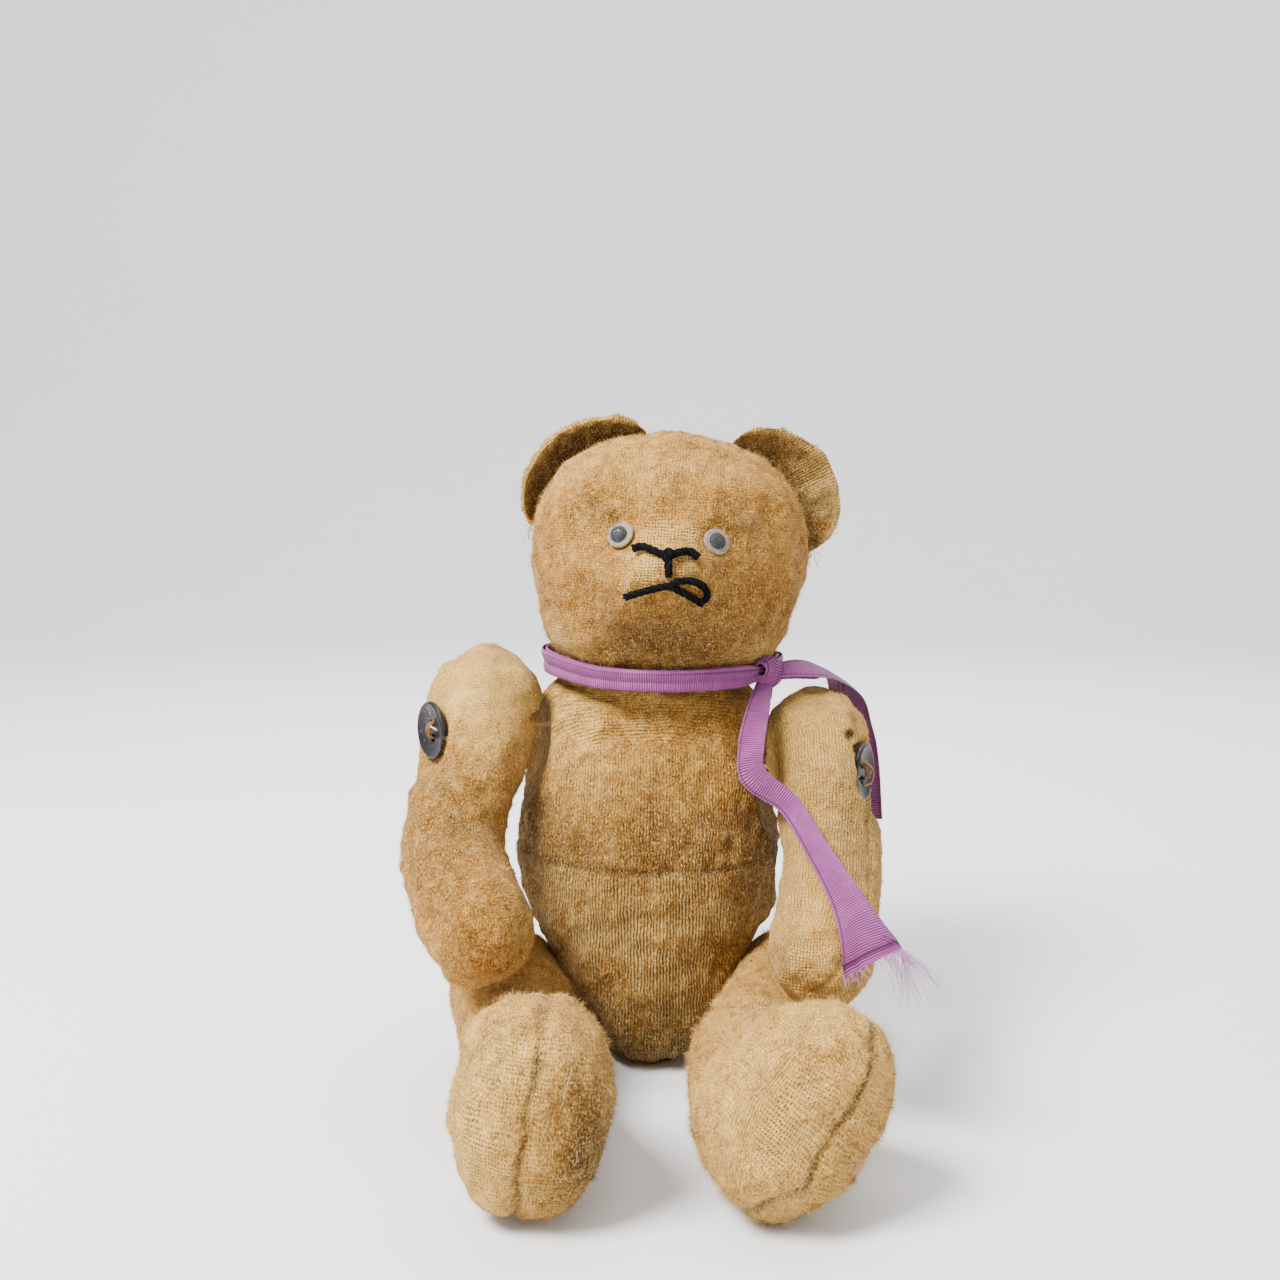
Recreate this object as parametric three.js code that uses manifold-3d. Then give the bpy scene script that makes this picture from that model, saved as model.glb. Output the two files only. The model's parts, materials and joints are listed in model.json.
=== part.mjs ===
// A small old teddy bear that sits: stuffed cloth torso, head, ears, arms and legs, glass eyes, thread nose and
// mouth, and a ribbon tied at the neck. The arms hang on a string that runs from button to button through the
// torso. The head and the legs turn on fibre discs held by cotter pins.
// Units are millimetres and +Z is up. The bear faces -Y, so its own left is +X. The origin is the middle of the
// flat spot under the torso, on the surface that the bear sits on.

import * as THREE from 'three';
import { mergeVertices } from 'three/addons/utils/BufferGeometryUtils.js';
import Module from 'manifold-3d';

const wasm = await Module();
wasm.setup();

// ---------------------------------------------------------------- driving dimensions

const GAP = 0.3; // between pieces that touch
const DEGREE = Math.PI / 180;

const TORSO_HEIGHT = 118.5;
const TORSO_LEAN = 0.16; // the torso leans back by this much per millimetre of height
const TORSO_SQUARENESS = 2.15; // exponent of the torso's oval sections, 2 is an ellipse

const NECK = new THREE.Vector3(4, 17, 121.5); // middle of the head's flat base
const HEAD_ROLL = 4 * DEGREE; // the head leans towards its own left
const HEAD_TURN = -2.2 * DEGREE; // and looks a little to its own right
const HEAD_HEIGHT = 78;
const HEAD_DOME = 40; // height of the rounded top of the head
const HEAD_SQUARENESS = 2.3;
const MUZZLE_HEIGHT = 29; // middle of the muzzle above the head's base
const MUZZLE_REACH = 12;
const MUZZLE_HALF_WIDTH = 21;
const MUZZLE_HALF_HEIGHT = 17;

const EYE_RADIUS = 4.2;
const EYE_SPACING = 29.8;
const EYE_HEIGHT = 44;
const PUPIL_RADIUS = 2.1;
const SHANK_WIRE_RADIUS = 0.45;
const SHANK_DEPTH = 9;
const THREAD_RADIUS = 0.95; // of the doubled black thread of the nose and mouth

const EAR_THICKNESS = 2.9;
const EAR_REACH = 17;

const DISC_RADIUS = 15;
const PIN_RADIUS = 1.0;

const SHOULDER_RIGHT = new THREE.Vector3(-54, 0, 105);
const SHOULDER_LEFT = new THREE.Vector3(54.3, -5, 92);
const SHOULDER_TURN = 8 * DEGREE; // the shoulder axes point forward by this much
const BUTTON_TURN_RIGHT = 35 * DEGREE; // how far each arm's button is turned to the front
const BUTTON_TURN_LEFT = 27 * DEGREE;
const HIP_RIGHT = new THREE.Vector3(-46, -5, 21);
const HIP_LEFT = new THREE.Vector3(45.5, -5, 21);
const HIP_TURN = 13 * DEGREE; // the thighs point inwards by this much

const BUTTON_RADIUS = 9.2;
const BUTTON_THICKNESS = 2.6;
const STRING_RADIUS = 1.0;

const RIBBON_THICKNESS = 1.2; // the cloth is thinner; this is the room that its folds take
const RIBBON_WIDTH = 20;

// ---------------------------------------------------------------- materials

function finish(colour, roughness, metalness = 0) {
  return () => new THREE.MeshStandardMaterial({ color: colour, roughness, metalness });
}

const plush = finish(0xc79a5b, 0.95);
const plushPale = finish(0xcdb07a, 0.95);
const blackThread = finish(0x141416, 0.8);
const clearGlass = finish(0xdfe4e6, 0.05);
const blackGlass = finish(0x0a0b0d, 0.1);
const steelWire = finish(0x77726a, 0.45, 0.9);
const darkMetal = finish(0x2b2b30, 0.35, 0.8);
const tanThread = finish(0x8a6440, 0.9);
const fibreBoard = finish(0x7d5a38, 0.9);
const violetRibbon = finish(0xb468bb, 0.6);

// ---------------------------------------------------------------- solids

// A closed mesh with only its positions, as a solid that can be joined and cut.
function toSolid(geometry) {
  const bare = geometry.clone();
  bare.deleteAttribute('normal');
  bare.deleteAttribute('uv');
  const merged = mergeVertices(bare, 1e-4);
  return new wasm.Manifold(
    new wasm.Mesh({
      numProp: 3,
      vertProperties: new Float32Array(merged.attributes.position.array),
      triVerts: new Uint32Array(merged.index.array),
    }),
  );
}

function toGeometry(solid) {
  const mesh = solid.getMesh();
  const geometry = new THREE.BufferGeometry();
  geometry.setAttribute('position', new THREE.BufferAttribute(new Float32Array(mesh.vertProperties), 3));
  geometry.setIndex(new THREE.BufferAttribute(new Uint32Array(mesh.triVerts), 1));
  geometry.computeVertexNormals();
  return geometry;
}

function cut(geometry, ...tools) {
  let solid = toSolid(geometry);
  for (const tool of tools) {
    solid = solid.subtract(toSolid(tool));
  }
  return toGeometry(solid);
}

function join(first, ...others) {
  let solid = toSolid(first);
  for (const other of others) {
    solid = solid.add(toSolid(other));
  }
  return toGeometry(solid);
}

// A closed skin over a stack of rings of points. A fan to the ring's middle closes each end.
function loft(rings) {
  const sides = rings[0].length;
  const points = rings.flat();
  const middle = (ring) => ring.reduce((sum, p) => sum.add(p), new THREE.Vector3()).divideScalar(sides);
  const first = points.length;
  points.push(middle(rings[0]), middle(rings[rings.length - 1]));
  const faces = [];
  for (let j = 0; j < sides; j += 1) {
    const k = (j + 1) % sides;
    faces.push(first, k, j);
    const top = (rings.length - 1) * sides;
    faces.push(first + 1, top + j, top + k);
    for (let i = 0; i < rings.length - 1; i += 1) {
      const low = i * sides;
      const high = low + sides;
      faces.push(low + j, low + k, high + k, low + j, high + k, high + j);
    }
  }
  if (signedVolume(points, faces) < 0) {
    faces.reverse();
  }
  const geometry = new THREE.BufferGeometry();
  geometry.setAttribute('position', new THREE.Float32BufferAttribute(points.flatMap((p) => p.toArray()), 3));
  geometry.setIndex(faces);
  geometry.computeVertexNormals();
  return geometry;
}

function signedVolume(points, faces) {
  let volume = 0;
  for (let i = 0; i < faces.length; i += 3) {
    const [a, b, c] = [points[faces[i]], points[faces[i + 1]], points[faces[i + 2]]];
    volume += a.dot(new THREE.Vector3().crossVectors(b, c));
  }
  return volume / 6;
}

// A smooth curve through [position, value] pairs: a cubic between neighbours, with the slope at each pair taken
// from the pairs on either side of it.
function smoothProfile(pairs) {
  const last = pairs.length - 1;
  const slopes = pairs.map((_, i) => {
    const before = pairs[Math.max(i - 1, 0)];
    const after = pairs[Math.min(i + 1, last)];
    return (after[1] - before[1]) / (after[0] - before[0]);
  });
  return (x) => {
    let i = 0;
    while (i < last - 1 && x > pairs[i + 1][0]) {
      i += 1;
    }
    const width = pairs[i + 1][0] - pairs[i][0];
    const f = THREE.MathUtils.clamp((x - pairs[i][0]) / width, 0, 1);
    const g = 1 - f;
    return (
      pairs[i][1] * (1 + 2 * f) * g * g +
      slopes[i] * width * f * g * g +
      pairs[i + 1][1] * (3 - 2 * f) * f * f -
      slopes[i + 1] * width * g * f * f
    );
  };
}

// Height of an oval of the given squareness at a distance from its middle, as a share of its full height.
function ovalShare(distance, squareness) {
  const share = Math.min(Math.abs(distance), 1);
  return (1 - share ** squareness) ** (1 / squareness);
}

// The direction of a point on an oval: across and along, each from -1 to 1.
function ovalPoint(angle, squareness) {
  const power = 2 / squareness;
  const bend = (value) => Math.sign(value) * Math.abs(value) ** power;
  return [bend(Math.cos(angle)), bend(Math.sin(angle))];
}

// A tube along a smooth curve through points, with flat ends.
function tube(points, radius, { sides = 10, steps = 24, closed = false } = {}) {
  const circle = new THREE.Shape();
  for (let i = 0; i < sides; i += 1) {
    const angle = (i / sides) * 2 * Math.PI;
    const [x, y] = [radius * Math.cos(angle), radius * Math.sin(angle)];
    if (i === 0) {
      circle.moveTo(x, y);
    } else {
      circle.lineTo(x, y);
    }
  }
  const path = new THREE.CatmullRomCurve3(points, closed);
  return new THREE.ExtrudeGeometry(circle, { extrudePath: path, steps, curveSegments: sides });
}

// A cylinder from one point to another.
function rod(from, to, radius, sides = 20) {
  const along = new THREE.Vector3().subVectors(to, from);
  const geometry = new THREE.CylinderGeometry(radius, radius, along.length(), sides);
  geometry.applyQuaternion(
    new THREE.Quaternion().setFromUnitVectors(new THREE.Vector3(0, 1, 0), along.clone().normalize()),
  );
  const middle = from.clone().addScaledVector(along, 0.5);
  return geometry.translate(middle.x, middle.y, middle.z);
}

// A turned shape from [radius, height] pairs, with its axis laid along a direction at a place.
function turned(pairs, place, direction, sides = 24) {
  const geometry = new THREE.LatheGeometry(pairs.map((pair) => new THREE.Vector2(...pair)), sides);
  geometry.applyQuaternion(new THREE.Quaternion().setFromUnitVectors(new THREE.Vector3(0, 1, 0), direction));
  return geometry.translate(place.x, place.y, place.z);
}

function along(place, direction, distance) {
  return place.clone().addScaledVector(direction, distance);
}

// ---------------------------------------------------------------- torso

const torsoHalfWidth = smoothProfile([
  [0, 11.5], [4, 17], [10, 22], [21, 29], [32, 35], [46, 40.4], [58, 42.5], [72, 43], [94, 41], [106, 38.5],
  [113, 36], [117, 32.5], [TORSO_HEIGHT, 29.5],
]);
const torsoFront = smoothProfile([
  [0, 15], [4, 23], [10, 28], [21, 32.5], [32, 34.5], [46, 36], [70, 36.5], [94, 33], [106, 30.5],
  [113, 28.5], [117, 26.5], [TORSO_HEIGHT, 24.5],
]);
const torsoBack = smoothProfile([
  [0, 15], [4, 22], [10, 27], [21, 31.5], [32, 34], [46, 35.5], [70, 36], [94, 34], [106, 31.5],
  [113, 29], [117, 27], [TORSO_HEIGHT, 25],
]);

// A point of the torso's skin at a height, seen at an angle from its own middle line.
function torsoPoint(height, angle, extra = 0) {
  const [across, back] = ovalPoint(angle, TORSO_SQUARENESS);
  const depth = back > 0 ? torsoBack(height) : torsoFront(height);
  return new THREE.Vector3(
    (torsoHalfWidth(height) + extra) * across,
    TORSO_LEAN * height + (depth + extra) * back,
    height,
  );
}

function torsoBody(extra = 0) {
  const heights = [0, 3, 7, 13, 20, 28, 37, 47, 58, 69, 80, 90, 98, 104, 109, 113, 116, TORSO_HEIGHT];
  const sides = 36;
  return loft(
    heights.map((height) =>
      Array.from({ length: sides }, (_, j) => {
        const point = torsoPoint(height, (j / sides) * 2 * Math.PI, extra);
        if (extra > 0 && (height === 0 || height === TORSO_HEIGHT)) {
          point.z += height === 0 ? -extra : extra;
        }
        return point;
      }),
    ),
  );
}

// ---------------------------------------------------------------- head, in its own frame: base at 0, face to -Y

const headHalfWidth = smoothProfile([[0, 32.5], [3, 36.7], [9, 40.3], [20, 43], [32, 45.3], [44, 46], [80, 46]]);
const headBack = smoothProfile([[0, 29], [3, 33.5], [9, 37.5], [20, 41], [32, 43], [44, 43.5], [80, 43.5]]);
const headFront = smoothProfile([[0, 29], [3, 33], [9, 36.5], [20, 38.5], [32, 39.5], [44, 40], [80, 40]]);

function headDome(height) {
  const above = (height - (HEAD_HEIGHT - HEAD_DOME)) / HEAD_DOME;
  return above > 0 ? ovalShare(above, HEAD_SQUARENESS) : 1;
}

// How far the muzzle stands out of the face.
function muzzle(x, height) {
  const across = x / MUZZLE_HALF_WIDTH;
  const up = (height - MUZZLE_HEIGHT) / MUZZLE_HALF_HEIGHT;
  return MUZZLE_REACH * Math.exp(-((across * across + up * up) ** 1.5));
}

// The place of the face's skin at a distance across and a height.
function facePoint(x, height, proud = 0) {
  const share = ovalShare(x / (headHalfWidth(height) * headDome(height)), HEAD_SQUARENESS);
  const depth = headFront(height) * headDome(height) * share + muzzle(x, height);
  return new THREE.Vector3(x, -depth - proud, height);
}

function headBody(extra = 0) {
  const rise = [0, 3, 7, 12, 18, 24, 30, 36, 42, 48, 54, 60, 65, 69, 72.5, 75, 76.8, 77.7];
  const sides = 40;
  return loft(
    rise.map((height) =>
      Array.from({ length: sides }, (_, j) => {
        const [across, back] = ovalPoint((j / sides) * 2 * Math.PI, HEAD_SQUARENESS);
        const x = (headHalfWidth(height) * headDome(height) + extra) * across;
        const depth = (back > 0 ? headBack(height) : headFront(height)) * headDome(height) + extra;
        const bump = back < 0 ? muzzle(x, height) * Math.min(1, -2 * back) : 0;
        return new THREE.Vector3(x, depth * back - bump, height - (extra > 0 && height === 0 ? extra : 0));
      }),
    ),
  );
}

// ---------------------------------------------------------------- limbs

// A stuffed limb: oval sections carried along a smooth curve. across is the way through the limb's thickness at
// its joint, and roll turns the sections round the curve. The profiles give the limb's half width and half
// thickness at each millimetre of its length, and an offset of its middle towards its front or toe.
class Limb {
  constructor({ points, across, roll, halfWidth, halfThickness, offset, startCap, endCap, squareness }) {
    this.path = new THREE.CatmullRomCurve3(points);
    this.path.arcLengthDivisions = 400;
    this.across = across;
    this.roll = roll;
    this.halfWidth = halfWidth;
    this.halfThickness = halfThickness;
    this.offset = offset;
    this.startCap = startCap;
    this.endCap = endCap;
    this.squareness = squareness;
    this.length = this.path.getLength();
  }

  // Rounding of the two ends, as a share of the full section.
  rounding(distance) {
    const start = 1 - distance / this.startCap;
    const end = 1 - (this.length - distance) / this.endCap;
    return ovalShare(Math.max(start, 0), 2) * ovalShare(Math.max(end, 0), 2.2);
  }

  ring(distance, sides, extra) {
    const u = distance / this.length;
    const centre = this.path.getPointAt(u);
    const forward = this.path.getTangentAt(u);
    const thick = this.across.clone().addScaledVector(forward, -this.across.dot(forward)).normalize();
    thick.applyAxisAngle(forward, this.roll(distance));
    const wide = new THREE.Vector3().crossVectors(forward, thick).normalize();
    centre.addScaledVector(wide, this.offset(distance));
    const share = this.rounding(distance);
    return Array.from({ length: sides }, (_, j) => {
      const [a, b] = ovalPoint((j / sides) * 2 * Math.PI, this.squareness);
      return centre
        .clone()
        .addScaledVector(thick, (this.halfThickness(distance) * share + extra) * a)
        .addScaledVector(wide, (this.halfWidth(distance) * share + extra) * b);
    });
  }

  skin({ sides = 24, steps = 20, extra = 0 } = {}) {
    const rings = Array.from({ length: steps }, (_, i) => {
      const even = (i + 0.35) / (steps - 0.3);
      const crowded = even + 0.1 * Math.sin(2 * Math.PI * even) * -1;
      return this.ring(THREE.MathUtils.clamp(crowded, 0.004, 0.996) * this.length, sides, extra);
    });
    return loft(rings);
  }
}

const vector = (x, y, z) => new THREE.Vector3(x, y, z);

const armWidth = smoothProfile([[0, 18.5], [14, 19.5], [30, 19], [50, 17.6], [72, 16.2], [95, 16.4], [130, 16]]);
const armThickness = smoothProfile([[0, 18], [14, 18.6], [30, 18.2], [50, 16.8], [72, 15.8], [95, 15.8], [130, 15.6]]);

function arm(points, outward, slimmer) {
  return new Limb({
    points,
    across: outward,
    roll: () => 0,
    halfWidth: (distance) => armWidth(distance) * slimmer,
    halfThickness: (distance) => armThickness(distance) * slimmer,
    offset: () => 0,
    startCap: 19,
    endCap: 17,
    squareness: 2.1,
  });
}

const legWidth = smoothProfile([
  [0, 17], [9, 18.6], [19, 19], [42, 18.4], [66, 16.8], [86, 16.6], [98, 20], [109, 25.2], [120, 27.8], [140, 27.4],
]);
const legThickness = smoothProfile([
  [0, 16], [9, 17.6], [19, 18], [42, 18], [66, 17.2], [86, 16.8], [98, 17.8], [109, 19.4], [120, 20], [140, 19.4],
]);
const toeOffset = smoothProfile([[0, 0], [84, 0.5], [98, 4], [109, 7.5], [120, 8.5], [140, 8.5]]);

function leg(points, outward, toeSide, roll) {
  return new Limb({
    points,
    across: outward,
    roll,
    halfWidth: legWidth,
    halfThickness: legThickness,
    offset: (distance) => toeSide * toeOffset(distance),
    startCap: 18,
    endCap: 15,
    squareness: 2.15,
  });
}

const shoulderOutRight = vector(-Math.cos(SHOULDER_TURN), -Math.sin(SHOULDER_TURN), 0);
const shoulderOutLeft = vector(Math.cos(SHOULDER_TURN), -Math.sin(SHOULDER_TURN), 0);
const buttonOutRight = vector(-Math.cos(BUTTON_TURN_RIGHT), -Math.sin(BUTTON_TURN_RIGHT), 0);
const buttonOutLeft = vector(Math.cos(BUTTON_TURN_LEFT), -Math.sin(BUTTON_TURN_LEFT), 0);
const hipOutRight = vector(-Math.cos(HIP_TURN), -Math.sin(HIP_TURN), 0);
const hipOutLeft = vector(Math.cos(HIP_TURN), -Math.sin(HIP_TURN), 0);

const armRight = arm(
  [
    vector(-53, 15, 128), vector(-53, 7, 114), vector(-54.5, -2, 100), vector(-58.5, -14, 85),
    vector(-59, -30, 69), vector(-50, -48, 56.5), vector(-42.5, -62, 45),
  ],
  buttonOutRight,
  1,
);
const armLeft = arm(
  [
    vector(53.5, 13, 115), vector(54, 4, 101), vector(54.8, -8, 89), vector(55, -23, 76.5),
    vector(52.5, -41, 64), vector(48, -58, 53.5), vector(42, -73, 43),
  ],
  buttonOutLeft,
  0.94,
);
const legRight = leg(
  [
    vector(-50, 13, 21), vector(-46, -5, 21), vector(-40, -33, 20), vector(-34, -62, 19.5),
    vector(-31, -92, 20), vector(-30.5, -122, 20),
  ],
  hipOutRight,
  -1,
  (distance) => -8 * DEGREE * THREE.MathUtils.smoothstep(distance, 20, 90),
);
const legLeft = leg(
  [
    vector(49.5, 13, 21), vector(45.5, -5, 21), vector(37, -33, 20), vector(27, -62, 19.5),
    vector(27, -90, 19.5), vector(37, -121.5, 19.5),
  ],
  hipOutLeft,
  1,
  (distance) => -38 * DEGREE * THREE.MathUtils.smoothstep(distance, 5, 100),
);

// ---------------------------------------------------------------- sockets: room for limbs that turn

// A round-nosed hollow about a joint's axis, deep enough for a limb's stuffed end to turn in.
function socket(place, outward, depth, radius) {
  const geometry = new THREE.SphereGeometry(1, 20, 12);
  geometry.scale(radius, depth, radius);
  geometry.applyQuaternion(new THREE.Quaternion().setFromUnitVectors(vector(0, 1, 0), outward));
  return geometry.translate(place.x, place.y, place.z);
}

// A straight round pocket along a direction, between two distances from a place.
function pocket(place, direction, from, to, radius, sides = 16) {
  return rod(along(place, direction, from), along(place, direction, to), radius, sides);
}

// ---------------------------------------------------------------- disc joints

// Distances along a joint's axis. The first disc is in the turning piece and the second one in the torso.
const HIP_JOINT = { limbDisc: [-11.2, -9.2], limbPocket: [-11.6, -5.6], bodyDisc: [-31.4, -29.4], bodyPocket: [-35.2, -29] };
const NECK_JOINT = { limbDisc: [5.4, 7.6], limbPocket: [5, 11], bodyDisc: [-9.1, -6.9], bodyPocket: [-12.5, -6.5] };
const HIP_DISC_RADIUS = 10.6;
const PIN_HEAD = 1.2; // thickness of the pin's head and of its spread ends
const PIN_CLEARANCE = 0.35;

function disc(place, direction, [from, to], radius) {
  const bore = PIN_RADIUS + PIN_CLEARANCE;
  return turned([[bore, from], [radius, from], [radius, to], [bore, to], [bore, from]], place, direction, 20);
}

// A pin with a broad head at both ends, outside the two discs.
function cotterPin(place, direction, joint) {
  const [low, high] = [Math.min(...joint.bodyDisc), Math.max(...joint.limbDisc)];
  const headRadius = 2.3;
  const [bottom, top] = [low - GAP, high + GAP];
  return turned(
    [
      [0, bottom - PIN_HEAD], [headRadius, bottom - PIN_HEAD], [headRadius, bottom], [PIN_RADIUS, bottom],
      [PIN_RADIUS, top], [headRadius, top], [headRadius, top + PIN_HEAD], [0, top + PIN_HEAD],
    ],
    place,
    direction,
    10,
  );
}

function jointRoom(place, direction, joint, discRadius) {
  const bore = PIN_RADIUS + PIN_CLEARANCE;
  return {
    limb: [
      pocket(place, direction, ...joint.limbPocket, discRadius + 0.8),
      pocket(place, direction, joint.bodyPocket[1], joint.limbPocket[0] + 1, bore, 12),
    ],
    body: [
      pocket(place, direction, ...joint.bodyPocket, discRadius + 0.8),
      pocket(place, direction, joint.bodyPocket[1] - 1, joint.limbPocket[0], bore, 12),
    ],
  };
}

const upward = vector(0, 0, 1);
const neckAxis = vector(Math.sin(HEAD_ROLL), 0, Math.cos(HEAD_ROLL));
const neckRoom = jointRoom(vector(0, 0, 0), upward, NECK_JOINT, DISC_RADIUS);
const neckRoomInTorso = jointRoom(NECK, neckAxis, NECK_JOINT, DISC_RADIUS - 2);
const hipRoomRight = jointRoom(HIP_RIGHT, hipOutRight, HIP_JOINT, HIP_DISC_RADIUS);
const hipRoomLeft = jointRoom(HIP_LEFT, hipOutLeft, HIP_JOINT, HIP_DISC_RADIUS);

// ---------------------------------------------------------------- shoulder string, buttons and their thread

const BUTTON_SEAT_RIGHT = 15.6; // the buttons' undersides, outwards from the shoulder points
const BUTTON_SEAT_LEFT = 12.4;
const BUTTON_HOLE_SPACING = 2.4;
const BUTTON_HOLE_RADIUS = 1.35;
const BUTTON_THREAD_RADIUS = 0.95;
const THREAD_TAIL = 2.6; // how far the button thread goes in behind the button

function button(shoulder, outward, seat) {
  const disk = turned(
    [
      [0, 0], [3.5, 0], [BUTTON_RADIUS - 0.9, 0.5], [BUTTON_RADIUS, 1.4], [BUTTON_RADIUS - 0.2, 2.3],
      [8.3, BUTTON_THICKNESS], [7.2, 2.1], [5.6, 1.5], [3.4, 1.2], [0, 1.2],
    ],
    along(shoulder, outward, seat),
    outward,
    32,
  );
  const holes = [1, -1].map((side) => {
    const place = along(shoulder, upward, side * BUTTON_HOLE_SPACING);
    return pocket(place, outward, seat - 1, seat + 4, BUTTON_HOLE_RADIUS, 14);
  });
  return cut(disk, ...holes);
}

function buttonThread(shoulder, outward, seat) {
  const route = [
    [-THREAD_TAIL, -1], [0.6, -1], [2.3, -0.72], [2.9, 0], [2.3, 0.72], [0.6, 1], [-THREAD_TAIL, 1],
  ].map(([out, up]) => along(along(shoulder, outward, seat + out), upward, up * BUTTON_HOLE_SPACING));
  return tube(route, BUTTON_THREAD_RADIUS, { sides: 7, steps: 16 });
}

// The string's middle line: straight along each shoulder's axis, and slack between them inside the torso.
const stringRoute = [
  along(SHOULDER_RIGHT, shoulderOutRight, 9),
  along(SHOULDER_RIGHT, shoulderOutRight, 5),
  along(SHOULDER_RIGHT, shoulderOutRight, 0),
  along(SHOULDER_RIGHT, shoulderOutRight, -8),
  along(SHOULDER_RIGHT, shoulderOutRight, -16),
  along(SHOULDER_RIGHT, shoulderOutRight, -24),
  along(SHOULDER_RIGHT, shoulderOutRight, -34),
  vector(0, 17, 98),
  along(SHOULDER_LEFT, shoulderOutLeft, -34),
  along(SHOULDER_LEFT, shoulderOutLeft, -24),
  along(SHOULDER_LEFT, shoulderOutLeft, -16),
  along(SHOULDER_LEFT, shoulderOutLeft, -8),
  along(SHOULDER_LEFT, shoulderOutLeft, 0),
  along(SHOULDER_LEFT, shoulderOutLeft, 4),
  along(SHOULDER_LEFT, shoulderOutLeft, 8),
];
const stringBore = tube(stringRoute, STRING_RADIUS + 2 * GAP, { sides: 8, steps: 40 });

// Room in an arm: the string's bore, a pocket for the thread behind the button, and the dimple it sits in.
function armRoom(shoulder, outward, buttonOut, seat) {
  return [
    pocket(shoulder, outward, -24, 10, STRING_RADIUS + 2 * GAP, 10),
    pocket(shoulder, buttonOut, seat - THREAD_TAIL - 1.2, seat + 1, 4.2, 16),
    pocket(shoulder, buttonOut, seat - GAP, seat + 14, BUTTON_RADIUS + GAP, 24),
  ];
}

// ---------------------------------------------------------------- eyes

// The outward direction of the face's skin.
function faceNormal(x, height) {
  const step = 0.5;
  const sideways = facePoint(x + step, height).sub(facePoint(x - step, height));
  const upwards = facePoint(x, height + step).sub(facePoint(x, height - step));
  return sideways.cross(upwards).normalize();
}

const EYES = { right: -EYE_SPACING / 2, left: EYE_SPACING / 2 };
const EYE_SEAT = -1.0; // the lens's widest circle lies this far in from the skin

function eyePlace(x) {
  const normal = faceNormal(x, EYE_HEIGHT);
  return { place: along(facePoint(x, EYE_HEIGHT), normal, EYE_SEAT), normal };
}

function lens(x) {
  const { place, normal } = eyePlace(x);
  const dome = turned(
    [[0, -1.4], [3.6, -1.4], [EYE_RADIUS, -0.5], [4.1, 0.4], [3.5, 1.5], [2.4, 2.3], [1.2, 2.75], [0, 2.9]],
    place,
    normal,
    28,
  );
  return cut(dome, pocket(place, normal, -2, 0.2, PUPIL_RADIUS + GAP, 24));
}

function pupil(x) {
  const { place, normal } = eyePlace(x);
  return turned([[0, -1.2], [PUPIL_RADIUS, -1.2], [PUPIL_RADIUS, -0.5], [1.2, -0.2], [0, -0.15]], place, normal, 20);
}

function shank(x) {
  const { place, normal } = eyePlace(x);
  const half = 1.2;
  const wire = [[half, -1.8], [half, -5.5], [0.8, -7.6], [0, -8.2], [-0.8, -7.6], [-half, -5.5], [-half, -1.8]];
  const route = wire.map(([side, depth]) => along(along(place, normal, depth), upward, side));
  return tube(route, SHANK_WIRE_RADIUS, { sides: 6, steps: 12 });
}

function eyeRoom(x) {
  const { place, normal } = eyePlace(x);
  return [
    pocket(place, normal, -1.4 - GAP, 8, EYE_RADIUS + GAP, 24),
    pocket(place, normal, -SHANK_DEPTH - 0.5, 0, 2.2, 14),
  ];
}

// ---------------------------------------------------------------- nose and mouth threads

// Places on the face, across and up from the middle of the head's base.
const NOSE_BAR = [[-10.1, 39.8], [-7.6, 40.6], [-4.2, 39.8], [-1, 38.7], [1.2, 38.8], [4, 39.8], [6.8, 40.1], [9.2, 38.6]];
const NOSE_STEM = [[0.3, 38.8], [0.6, 36.6], [0.9, 34], [1, 32.4]];
const MOUTH = [[-11.4, 25.4], [-8, 26.8], [-4.2, 28.2], [-1, 29.2], [1.4, 29.6], [4.4, 28.6], [8, 26.9], [11.4, 25]];
const MOUTH_LOOP = [[10.6, 25.4, 0.4], [12.6, 27, 0.9], [11.9, 29.7, 1.4], [9, 31.5, 1.5], [5.4, 31.6, 1], [2.2, 30.4, 0.2]];
const THREAD_PROUD = 0.35; // the thread's middle above the skin

function faceThread(places, radius, extra = 0) {
  const route = places.map(([x, height, lift = 0]) => facePoint(x, height, THREAD_PROUD + lift));
  return tube(route, radius + extra, { sides: 7, steps: 3 * places.length });
}

function noseThread(extra = 0) {
  const knot = new THREE.SphereGeometry(1.5 + extra, 12, 8);
  const middle = facePoint(0, 39.2, THREAD_PROUD + 0.3);
  knot.translate(middle.x, middle.y, middle.z);
  return join(faceThread(NOSE_BAR, THREAD_RADIUS, extra), faceThread(NOSE_STEM, THREAD_RADIUS, extra), knot);
}

function mouthThread(extra = 0) {
  return join(faceThread(MOUTH, THREAD_RADIUS, extra), faceThread(MOUTH_LOOP, THREAD_RADIUS * 0.75, extra));
}

// ---------------------------------------------------------------- ears

const EAR_MIDDLE = 40; // height, above the head's base, of the point that the ears are set round

// Distance from that point to the head's outline, seen from the front.
function outlineRadius(angle) {
  let [inside, outside] = [10, 60];
  for (let i = 0; i < 24; i += 1) {
    const radius = (inside + outside) / 2;
    const x = Math.abs(radius * Math.sin(angle));
    const height = EAR_MIDDLE + radius * Math.cos(angle);
    if (height < HEAD_HEIGHT && x < headHalfWidth(height) * headDome(height)) {
      inside = radius;
    } else {
      outside = radius;
    }
  }
  return outside;
}

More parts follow.
